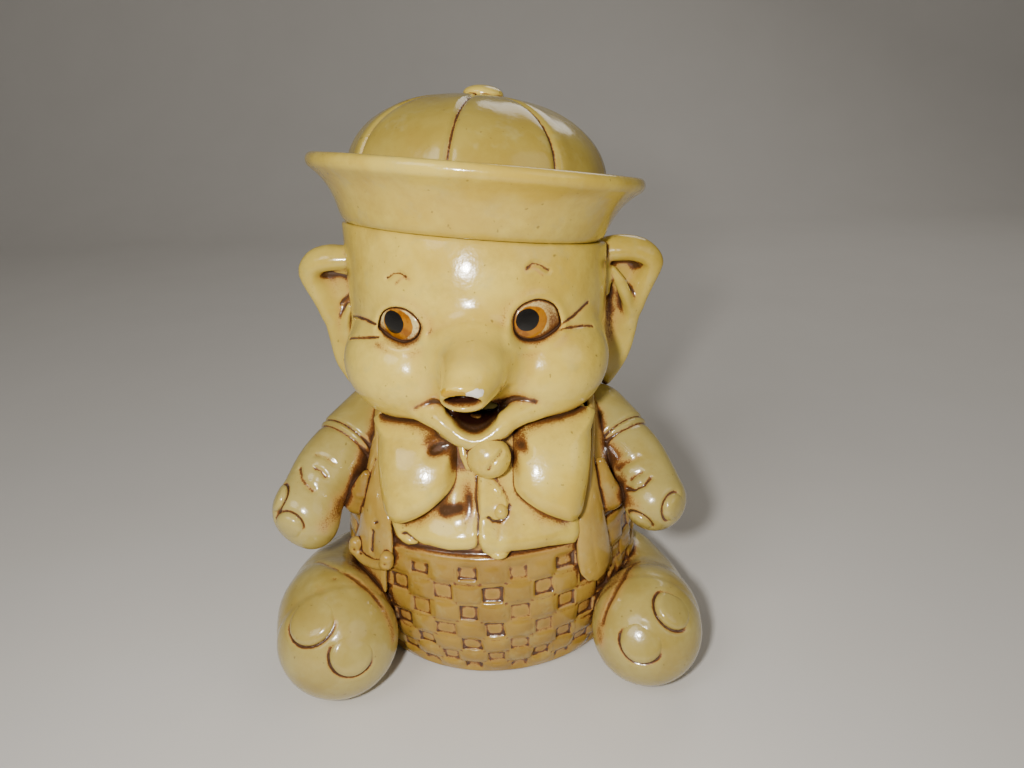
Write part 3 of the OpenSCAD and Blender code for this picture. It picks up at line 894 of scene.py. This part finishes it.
SHIRT_EDGE = [[-56, 141], [-54.5, 122], [-52.5, 105], [-49.5, 94], [-47.6, 88], [-46.8, 83.4],
              [-43.5, 80.6], [-39.8, 79.8], [-35.8, 81.2], [-29, 82.4], [-18.8, 81.2], [-9.4, 82],
              [-5, 83.4], [-2.6, 80.4], [1, 78], [5, 77.3], [9.2, 78.4], [11, 80.4], [18.5, 80.2],
              [29, 79.8], [38, 78], [43.2, 76.8], [45, 82], [45.6, 92], [48.5, 104], [51, 122],
              [53, 141]]
HEM = [[-47, 82.6], *SHIRT_EDGE[6:22]]
PLACKET = [[-4, 118], [-4.1, 110], [-4.3, 98], [-4.9, 90], [-4.8, 82]]
TAIL_FOLD = [[-47, 88], [-43.5, 86.4], [-40.2, 87.4], [-37.6, 86], [-33.5, 82.8]]
FLAP_SHADE = [[0.8, 99], [2.8, 96.9], [6.2, 96.6], [9, 98.8], [10.4, 102.6]]
FLAP = loop([[-4.2, 119], [2.5, 117], [6.4, 112], [9.4, 106.4], [10, 101.6], [7.2, 97.9],
             [2.8, 97.2], [0.5, 99.2], [-4.2, 100]], 3)
# Swellings of the shirt: height, middle (x, z), how much wider than tall, radius.
PUFFS = [(1.6, -22, 90, 1.7, 7), (2, 25, 89, 1.8, 7), (1.2, -17, 103, 1.2, 5), (1.2, 2, 89, 1.2, 6),
         (1.5, 6.4, 101, 1.0, 3.6)]


def shirt_front(p):
    x, z = p[:, 0], p[:, 2]
    side = torso_side(p)
    d = far(p)
    near = (p[:, 1] < -35) & (np.abs(side) < 16) & (np.abs(x) < 60) & (z > 70) & (z < 142)
    q, x, z, side = p[near], x[near], z[near], side[near]
    edge = outline(x, z, SHIRT_EDGE)
    hem = flat_distance(q, HEM)
    puff = 2.6 + 3.4 * bell(hem - 6.5, 6.5)
    for height, mid_x, mid_z, wide, radius in PUFFS:
        puff += height * bell(np.hypot((x - mid_x) / wide, z - mid_z), radius)
    puff -= 2.4 * ramp(-x, 4.2, 5.6) * bell(np.hypot((x + 8.5) / 0.8, (z - 105) / 1.6), 5.5)
    puff += 1.5 * (1 - ramp(outline(x, z, FLAP), -1.0, 0.6)) * ramp(z, 92, 99)
    puff += 0.9 * ramp(x, -4.4, -3.2) * bell(x + 2, 6) * ramp(z, 82, 88)
    field = round_max(side - puff, edge, 3.4)
    field += 2.0 * bell(flat_distance(q, PLACKET), 1.0)
    field += 2.2 * bell(flat_distance(q, TAIL_FOLD), 1.3) * ramp(x, -45, -41)
    field += 1.3 * bell(flat_distance(q, FLAP_SHADE), 1.0)
    field -= 0.8 * bell(np.hypot(x - 5.8, z - 110.4) - 1.1, 0.6)
    d[near] = np.maximum(field, -(side + 3))
    return d


def shirt_buttons(p):
    """The placket's two soft knobs: the tab at the hem and the flap's end."""
    d = egg(p, [4.8, -83.0, 81.0], [4.8, 4.6, 3.0])
    d = np.minimum(d, egg(p, [6.6, -79.2, 101.2], [3.4, 3.8, 3.8]))
    return np.maximum(d, -(torso_side(p) + 0.5))


# ---------- the braces ----------

STRAP_SHAPES = {
    -1: [[-58.5, 138], [-59, 130], [-58.2, 124], [-60, 119.6], [-62.6, 109.8], [-66.4, 95],
         [-67.6, 86], [-69.2, 76], [-73, 66], [-75.2, 57.5], [-72, 50.6], [-66, 46], [-59, 43.6],
         [-54.6, 46.4], [-54, 55], [-53.4, 61.5], [-49.4, 65.9], [-48.6, 78], [-48.6, 90],
         [-50.6, 95.3], [-51.8, 105], [-53.6, 117], [-54.8, 126], [-53.6, 132], [-52, 138]],
    1: [[52, 138], [53, 128], [52, 120], [50.4, 113], [48.6, 104.2], [45.8, 95], [43.6, 88],
        [43, 80], [43.8, 66], [45.2, 58.5], [49, 52.4], [54.2, 49.6], [59, 51.4], [62, 56],
        [62.6, 63], [61.4, 71], [58.8, 86], [56.2, 100], [54.8, 113.5], [56, 124], [57.5, 138]]}
# Creases of the brace at the figure's right: points (x, z), half width, depth.
STRAP_CREASES = [([[-56.6, 115], [-60.2, 106], [-63.8, 96], [-65.6, 89]], 0.9, 0.9),
                 ([[-59.6, 79.6], [-60.4, 74], [-61.2, 68.2]], 1.2, 1.6),
                 ([[-58.2, 84.4], [-56.6, 86.0]], 0.9, 1.2),
                 ([[-74, 60.5], [-66, 60.4], [-58, 62.4], [-50, 64.4]], 1, 0.8)]
SHOULDER_Z, BACK_END_Z = 134, 60    # where a brace's back part starts, and where it ends


def strap(side):
    front_shape = points_of(STRAP_SHAPES[side])

    def field(p):
        wall = torso_side(p)
        d = far(p)
        near = (np.abs(wall) < 12) & (p[:, 2] > 38) & (p[:, 2] < 142) & (side * p[:, 0] > 30)
        q = p[near]
        edge = outline(q[:, 0], q[:, 2], front_shape)
        # on the back a brace runs outwards and widens on its way down
        down = SHOULDER_Z - q[:, 2]
        centre = 46 + 9 * down / 76
        half = 4.5 + 3.5 * down / 76
        on_back = np.maximum(np.abs(side * q[:, 0] - centre) - half, BACK_END_Z - q[:, 2])
        edge = np.where(q[:, 1] > 0, on_back, edge)
        puff = 3.0 + 0.5 * bell(edge + 6, 5) if side < 0 else 3.4 + 1.5 * bell(edge + 7, 5)
        d[near] = np.maximum(smooth_max(wall[near] - puff, edge, 3.2), -(wall[near] + 3))
        if side < 0:
            for row, width, depth in STRAP_CREASES:
                press_front(d, p, row, width, depth)
        return d
    return field


def strap_clasp(p):
    """A band with two rolled ends on the brace at the figure's right."""
    d = far(p)
    join_chain(d, p, curve([[-71.2, -50.2, 63.2, 2.8], [-66.5, -56, 61.6, 2.6],
                            [-60, -62.4, 62.6, 2.5], [-53.6, -67.6, 65.4, 3.0]]), 1)
    for x, y, z in ((-71.4, -50.4, 66.6), (-52.6, -68.6, 68.8)):
        join_chain(d, p, [[x, y, z - 1.4, 3.7], [x + 0.5, y - 0.2, z + 1.6, 3.6]], 1.2)
        press_spot(d, p, [x - 0.4, y - 3.9, z - 0.4], 0.9, 1.5)
    press_line(d, p, [[-68.2, -54.6, 63], [-67.4, -54.8, 66.4], [-68.8, -53.2, 70]], 0.7, 0.9)
    return d


# ---------- the hat ----------

BAND = [[47.5, 0.25], [61.5, 0.25], [64.8, 1], [66.8, 3.4], [68.6, 7.8], [70.8, 12.6], [73.8, 17.4],
        [77.4, 21.4], [80.6, 24], [83.4, 26.2], [84.3, 29], [83, 31.6], [80.2, 32.1], [76.8, 29.8],
        [73.2, 26], [70, 21.2], [67.6, 15], [65.9, 8.5], [64, 4.4], [47.5, 4.4]]
BAND_SHAPE = np.vstack([curve(BAND[:-1], 3), BAND[-1:]])


def hat_band(p):
    return outline(*rim_round(p), BAND_SHAPE) - 0.15


def hat_dome(r, z):
    """Distance to the crown's rounded outside, seen from the rim."""
    z = np.maximum(z - SEAT_GAP - DOME_BASE, 0)
    total = np.abs(r / CROWN_R) ** DOME_POWER + (z / (CROWN_H - DOME_BASE)) ** DOME_POWER
    scaled = total ** (1 / DOME_POWER)
    reach = np.maximum(np.hypot(r, z), 1e-3)
    return (1 - 1 / np.maximum(scaled, 1e-3)) * reach * 0.93


def hat_crown(p):
    r, z = rim_round(p)
    d = hat_dome(r, z)
    gore = 360 / GORES
    off = np.abs((azimuth(rim_space(p)) + GORE_TURN + gore / 2) % gore - gore / 2)
    seam = r * np.sin(np.radians(off))
    inner = np.maximum(d + 4.0, 4.5 - z)
    d = d + 1.7 * bell(seam, 1.2) * ramp(r, 5, 9) - 0.5 * bell(seam - 5, 5) * ramp(r, 20, 40)
    d = np.maximum(d, 4.4 - z)
    return smooth_max(d, -inner, 1)


def hat_button(p):
    q = rim_space(p)
    q[:, 2] -= SEAT_GAP + CROWN_H
    d = egg(q, [0.4, 0, 0.7], [10.0, 9.2, 4.3])
    return np.maximum(d, -q[:, 2] - 0.6)


def hat_ring(p):
    """A ring of rounded rectangular section: middle, half size inside the rounding, rounding."""
    r, z = rim_round(p)
    return np.maximum(np.abs(r - 46.2) - 1.4, np.abs(z + 2.7) - 5.9) - 1.1


# ---------- build ----------

SIDES = {1: "left", -1: "right"}    # the sign of a piece's x, and the figure's own side


def widen(low, high, by):
    return np.array(low) - by, np.array(high) + by


# The pieces of each side: name, material slot, field, room round the CAD node (mm), voxel (mm).
SIDE_PIECES = [("ear", "cream_glaze", ear, 4, 0.85),
               ("eye", "eye_enamel", eye, 5, 0.5),
               ("arm", "cream_glaze", arm, 5, 0.8),
               ("leg", "cream_glaze", leg, 4, 0.95),
               ("toenails", "pale_glaze", toenails, 6, 0.7),
               ("bow_loop", "pale_glaze", bow_loop, 6, 0.8),
               ("strap", "tan_glaze", strap, 6, 0.8)]
# The same for the other pieces.
SINGLE_PIECES = [("hand_nails", "pale_glaze", hand_nails, 6, 0.7),
                 ("bow_knot", "pale_glaze", bow_knot, 4, 0.6),
                 ("shirt_front", "pale_glaze", shirt_front, 0, 0.75),
                 ("shirt_buttons", "pale_glaze", shirt_buttons, 4, 0.6),
                 ("strap_clasp", "tan_glaze", strap_clasp, 5, 0.6),
                 ("hat_band", "pale_glaze", hat_band, 3, 0.9),
                 ("hat_crown", "cream_glaze", hat_crown, 3, 0.9),
                 ("hat_button", "pale_glaze", hat_button, 3, 0.6),
                 ("hat_locating_ring", "pale_glaze", hat_ring, 3, 0.9)]
SHIRT_BOX = [-60, -92, 72], [60, -35, 142]


def build():
    low, high = cad_mm("torso_casting")
    Piece("torso", "jar", "tan_glaze", ["torso_casting"], torso, low - 1, high + 1, 1.0)
    low, high = cad_mm("head_casting")
    Piece("head", "jar", "cream_glaze", ["head_casting", "trunk", "lower_lip"], head,
          [low[0] - 2, -112, 130], [high[0] + 2, high[1] + 2, high[2] + 2], 0.85)
    for side, side_name in SIDES.items():
        for kind, slot, field, room, voxel in SIDE_PIECES:
            name = kind + "_" + side_name
            low, high = widen(*cad_mm(name), room)
            if kind == "strap":
                low[2] = 38
            Piece(name, "jar", slot, [name], field(side), low, high, voxel)
    for name, slot, field, room, voxel in SINGLE_PIECES:
        low, high = SHIRT_BOX if name == "shirt_front" else widen(*cad_mm(name), room)
        Piece(name, "hat" if name.startswith("hat_") else "jar", slot, [name], field,
              low, high, voxel)
    for piece in PIECES.values():
        measure_relief(piece)


SPRAY_AND_SHADE += [(row, 1.0, 0.5) for row in CROW_LINES]
SPRAY_AND_SHADE += [(on_skin([[x, -62, z] for x, z in row]), 1.0, 0.5) for row in BROW_LINES]
for shape in EYE_OUTLINES.values():
    lid = on_skin([[x, -62, z] for x, z in shape[::2]])
    SPRAY_AND_SHADE.append((np.vstack([lid, lid[:1]]), 4.4, 0.56))
build()


# ---------- glazes ----------

class Nodes:
    """Short calls that add shader nodes to one material."""

    def __init__(self, name):
        self.mat = bpy.data.materials.new(name)
        self.mat.use_nodes = True
        self.tree = self.mat.node_tree
        self.bsdf = self.tree.nodes["Principled BSDF"]

    def add(self, kind, **settings):
        node = self.tree.nodes.new(kind)
        for key, value in settings.items():
            setattr(node, key, value)
        return node

    def link(self, source, target):
        self.tree.links.new(source, target)

    def feed(self, socket, value):
        if isinstance(value, bpy.types.NodeSocket):
            self.link(value, socket)
        else:
            socket.default_value = value

    def attribute(self, name):
        return self.add("ShaderNodeAttribute", attribute_name=name).outputs["Fac"]

    def math(self, operation, a, b=0.0):
        node = self.add("ShaderNodeMath", operation=operation)
        self.feed(node.inputs[0], a)
        self.feed(node.inputs[1], b)
        return node.outputs[0]

    def plus(self, a, b):
        return self.math("ADD", a, b)

    def times(self, a, b):
        return self.math("MULTIPLY", a, b)

    def place(self):
        """The point in the object's own space, in metres."""
        return self.add("ShaderNodeTexCoord").outputs["Object"]

    def axes(self):
        """The same point as its x, y and z."""
        split = self.add("ShaderNodeSeparateXYZ")
        self.link(self.place(), split.inputs[0])
        return split.outputs

    def noise(self, scale, detail=3.0, roughness=0.55):
        node = self.add("ShaderNodeTexNoise")
        self.link(self.place(), node.inputs["Vector"])
        for name, value in (("Scale", scale), ("Detail", detail), ("Roughness", roughness)):
            node.inputs[name].default_value = value
        return node.outputs["Fac"]

    def sway(self, scale, detail, roughness, size):
        """Noise centred on zero, with a full range of about size."""
        return self.times(self.math("SUBTRACT", self.noise(scale, detail, roughness), 0.5), size)

    def step(self, value, low, high):
        """Smooth step from 0 at low to 1 at high."""
        node = self.add("ShaderNodeMapRange", interpolation_type="SMOOTHSTEP")
        self.feed(node.inputs["Value"], value)
        node.inputs["From Min"].default_value = low
        node.inputs["From Max"].default_value = high
        return node.outputs[0]

    def mix(self, fac, a, b):
        node = self.add("ShaderNodeMix", data_type="RGBA")
        self.feed(node.inputs[0], fac)
        self.feed(node.inputs[6], a if isinstance(a, bpy.types.NodeSocket) else (*a, 1))
        self.feed(node.inputs[7], b if isinstance(b, bpy.types.NodeSocket) else (*b, 1))
        return node.outputs[2]

    def dab(self, body, distance, low, high, colour, strength=1.0):
        """Paints a colour over body where distance is small; it fades out from low to high."""
        share = self.math("SUBTRACT", 1.0, self.step(distance, low, high))
        return self.mix(share if strength == 1.0 else self.times(share, strength), body, colour)


def linear(r, g, b):
    """A screen colour of 0 to 255 as the linear colour that shaders use."""
    return tuple(((c / 255 + 0.055) / 1.055) ** 2.4 if c > 10 else c / 255 / 12.92
                 for c in (r, g, b))


def glaze(name, base, warm, gain=1.0, tan=0.0, shirt=None):
    """Cream glaze with brown antiquing in its creases; shirt colours the torso's upper back."""
    n = Nodes(name)
    fine, broad, touch, spray_and_shade = (n.attribute(a) for a in ("fine", "broad", "touch", "spray_and_shade"))
    body = n.mix(n.step(n.noise(26, 4, 0.6), 0.36, 0.66), base, warm)
    if shirt:
        _, y, z = n.axes()
        above_waist, behind = n.step(z, 78 * MM, 80 * MM), n.step(y, -25 * MM, -5 * MM)
        body = n.mix(n.times(above_waist, behind), body, shirt)
    body = n.mix(n.times(n.step(n.noise(70, 3, 0.7), 0.52, 0.72), 0.35), body,
                 linear(176, 164, 104))
    body = n.mix(n.times(n.step(n.noise(15, 6, 0.75), 0.48, 0.66), 0.38), body,
                 linear(158, 132, 54))
    # a tan wash that lies broadly around the relief
    wash = n.plus(n.times(broad, 0.7), n.plus(touch, n.times(spray_and_shade, 1.4)))
    body = n.mix(n.plus(n.times(n.step(wash, -0.1, 0.7), 0.7), tan), body, linear(184, 138, 72))
    # speckled brown stain, also dark where the strokes of painted shade lie
    hollow = n.step(broad, 0.3, 1.1)
    depth = n.plus(n.times(fine, 0.95 * gain), n.times(hollow, 0.8 * gain))
    depth = n.plus(depth, n.times(n.plus(touch, spray_and_shade), 0.8))
    depth = n.plus(depth, n.sway(120, 3, 0.6, 0.5))
    depth = n.plus(depth, n.sway(1500, 2, 0.6, 0.9))
    stain = n.times(n.step(depth, 0.22, 0.60), 0.95)
    brown = n.mix(n.step(depth, 0.5, 1.1), linear(108, 62, 28), linear(56, 30, 20))
    brown = n.mix(n.step(depth, 1.3, 2.0), brown, linear(84, 60, 52))
    body = n.mix(stain, body, brown)
    speck = n.step(n.noise(420, 1, 0.4), 0.73, 0.80)
    body = n.mix(n.times(speck, 0.55), body, linear(104, 84, 40))
    return n, body


def finish_glaze(n, body):
    n.link(body, n.bsdf.inputs["Base Color"])
    n.link(n.plus(n.times(n.noise(90, 3), 0.14), 0.13), n.bsdf.inputs["Roughness"])
    for name, value in (("IOR", 1.5), ("Coat Weight", 0.3), ("Coat Roughness", 0.06)):
        n.bsdf.inputs[name].default_value = value
    ripple = n.add("ShaderNodeBump")
    ripple.inputs["Strength"].default_value = 0.25
    ripple.inputs["Distance"].default_value = 0.0006
    n.link(n.noise(260, 2), ripple.inputs["Height"])
    n.link(ripple.outputs[0], n.bsdf.inputs["Normal"])
    return n.mat


def seen_from(n, centre, half):
    """Distance from a point in mm, as a share of the half sizes; 0 leaves an axis out."""
    total = 0.0
    for value, middle, size in zip(n.axes(), centre, half):
        if size:
            share = n.times(n.math("SUBTRACT", value, middle * MM), 1 / (size * MM))
            total = n.plus(n.times(share, share), total)
    return n.math("SQRT", total)


def toned(share):
    """The cream glaze's two colours, both darkened to a share of their brightness."""
    return (linear(214 * share, 189 * share, 84 * share),
            linear(196 * share, 167 * share, 62 * share))


def eye_glaze(name, iris, pupil):
    n, body = glaze(name, linear(216, 200, 136), linear(206, 186, 118), 0.7)
    wobble = n.sway(300, 2, 0.55, 0.16)
    amber = n.mix(n.step(n.noise(240, 3), 0.4, 0.62), linear(162, 104, 0), linear(134, 78, 0))
    body = n.dab(body, n.plus(seen_from(n, *iris), wobble), 0.94, 1.02, amber)
    body = n.dab(body, n.plus(seen_from(n, *pupil), n.times(wobble, 0.6)), 0.95, 1.01,
                 linear(16, 14, 12))
    return finish_glaze(n, body)


def head_glaze():
    """Cream glaze with the trunk's chipped rim: bare white clay and old yellow paint, and painted
    shade on the trunk's top, in the head's hollow, in the mouth and in the nostril.
    """
    n, body = glaze("cream_glaze_head", *toned(1.0))
    # painted shade: the trunk's top is darkened to olive brown
    trunk_top_shade = seen_from(n, (-3, -85, 184), (16, 17, 11))
    body = n.dab(body, trunk_top_shade, 0.4, 1.0, linear(160, 134, 58), 0.5)
    ragged = n.sway(520, 3, 0.7, 0.9)
    yellow_paint = n.plus(seen_from(n, (-10.0, -102.5, 173.0), (6.4, 6, 2.6)), ragged)
    body = n.dab(body, yellow_paint, 0.92, 1.0, linear(180, 140, 0))
    bare_clay = n.plus(seen_from(n, (-1.8, -102.5, 172.8), (4.2, 6, 2.5)), ragged)
    body = n.dab(body, bare_clay, 0.92, 1.0, linear(226, 220, 206))
    # painted shade: the head's hollow is coloured almost black
    inside = seen_from(n, (-3.0, -8, 168), (55, 57, 38))
    body = n.dab(body, inside, 0.8, 1.05, linear(50, 24, 12))
    # painted shade: the mouth and the nostril are coloured dark brown, as their insides lie in
    # shadow
    for mouth_or_nostril_shade in (((-4.0, -56, 147.5), (14, 12.5, 10.5)),
                             ((-7.2, -95.6, 168.6), (8.0, 4.6, 4.2))):
        body = n.dab(body, seen_from(n, *mouth_or_nostril_shade), 0.85, 1.08, linear(44, 20, 12))
    return finish_glaze(n, body)


def plain_glaze(name, *settings):
    return finish_glaze(*glaze(name, *settings))


# The glaze of each material slot, and of the pieces whose colour differs from their slot's.
LOOK = {"cream_glaze": plain_glaze("cream_glaze", *toned(0.94)),
        "pale_glaze": plain_glaze("pale_glaze", *toned(1.0)),
        "tan_glaze": plain_glaze("tan_glaze", linear(184, 155, 74), linear(162, 132, 54), 1.2, 0.1)}
# painted shade: arms, hands, legs and toenails get a darker copy of the cream glaze, as they lie
# lower and get less light
shaded_limb_glaze = plain_glaze("shaded_limb_glaze", linear(173, 157, 88), linear(154, 135, 66))
SPECIAL = {"head": head_glaze(), "hand_nails": shaded_limb_glaze,
           "torso": plain_glaze("woven_glaze", linear(154, 124, 46), linear(132, 102, 30),
                                1.2, 0.12, linear(204, 184, 96)),
           # painted shade: the crown and band get darker copies of the cream glaze, for their sides
           # turned from the light
           "hat_crown": plain_glaze("shaded_crown_glaze", *toned(0.78)),
           "hat_band": plain_glaze("shaded_band_glaze", *toned(0.94)),
           **{limb + side: shaded_limb_glaze
              for limb in ("arm_", "leg_", "toenails_") for side in SIDES.values()},
           "eye_right": eye_glaze("eye_enamel_right", ((-37.7, 0, 189.5), (7.4, 0, 7.3)),
                                  ((-39.7, 0, 190.2), (4.9, 0, 5.6))),
           "eye_left": eye_glaze("eye_enamel_left", ((23.7, 0, 190.0), (7.7, 0, 7.5)),
                                 ((22.1, 0, 191.1), (5.5, 0, 5.4)))}
for piece in PIECES.values():
    piece.obj.data.materials.append(SPECIAL.get(piece.name) or LOOK[piece.slot])


# ---------- floor, light and camera ----------

def add_floor():
    """A pale sheet that lies flat under the jar and sweeps up behind it."""
    bend, back, top = 0.5, 1.6, 2.6
    line = [(-3.0, 0.0), (back - bend, 0.0)]
    line += [(back - bend + bend * math.sin(t), bend - bend * math.cos(t))
             for t in np.linspace(0.1, math.pi / 2, 15)]
    line.append((back, top))
    corners = [(x, y, z) for y, z in line for x in (-4.0, 4.0)]
    faces = [(2 * i, 2 * i + 1, 2 * i + 3, 2 * i + 2) for i in range(len(line) - 1)]
    mesh = bpy.data.meshes.new("floor")
    mesh.from_pydata(corners, [], faces)
    for face in mesh.polygons:
        face.use_smooth = True
    floor = bpy.data.objects.new("floor", mesh)
    bpy.context.collection.objects.link(floor)
    n = Nodes("floor_paper")
    n.link(n.mix(n.noise(9, 3), (0.60, 0.585, 0.56), (0.64, 0.625, 0.60)),
           n.bsdf.inputs["Base Color"])
    n.bsdf.inputs["Roughness"].default_value = 0.85
    mesh.materials.append(n.mat)


def add_light(name, place, target, size, power, colour=(1, 1, 1)):
    data = bpy.data.lights.new(name, "AREA")
    data.shape, data.size, data.energy, data.color = "DISK", size, power, colour
    lamp = bpy.data.objects.new(name, data)
    lamp.location = place
    lamp.rotation_euler = (Vector(target) - Vector(place)).to_track_quat("-Z", "Y").to_euler()
    bpy.context.collection.objects.link(lamp)


add_floor()
middle = (0, 0, 0.15)
add_light("flash", (-0.058, -0.45, 0.345), middle, 0.04, 2.9, (1.0, 0.96, 0.90))
add_light("key", (-0.8, -1.0, 1.3), middle, 0.8, 6.5, (1.0, 0.97, 0.93))
add_light("fill", (1.1, -0.7, 0.9), middle, 1.0, 2.4, (1.0, 0.95, 0.88))
add_light("back", (0.5, 1.1, 1.1), middle, 0.8, 3.4, (1.0, 0.95, 0.88))
world = bpy.data.worlds.new("studio")
world.use_nodes = True
world.node_tree.nodes["Background"].inputs["Color"].default_value = (1.0, 0.94, 0.85, 1)
world.node_tree.nodes["Background"].inputs["Strength"].default_value = 0.15
bpy.context.scene.world = world

CAMERA_AT = Vector((0.014, -0.411, 0.300))
PITCH, ROLL = math.radians(21.9), math.radians(2.0)
forward = Vector((0, math.cos(PITCH), -math.sin(PITCH)))
level = Vector((1, 0, 0))
upright = level.cross(forward)
across = level * math.cos(ROLL) - upright * math.sin(ROLL)
above = level * math.sin(ROLL) + upright * math.cos(ROLL)
data = bpy.data.cameras.new("camera")
data.lens, data.sensor_width = 28.125, 36
data.clip_start = 0.01
camera = bpy.data.objects.new("camera", data)
camera.matrix_world = (Matrix.Translation(CAMERA_AT)
                       @ Matrix((across, above, -forward)).transposed().to_4x4())
bpy.context.collection.objects.link(camera)
bpy.context.scene.camera = camera
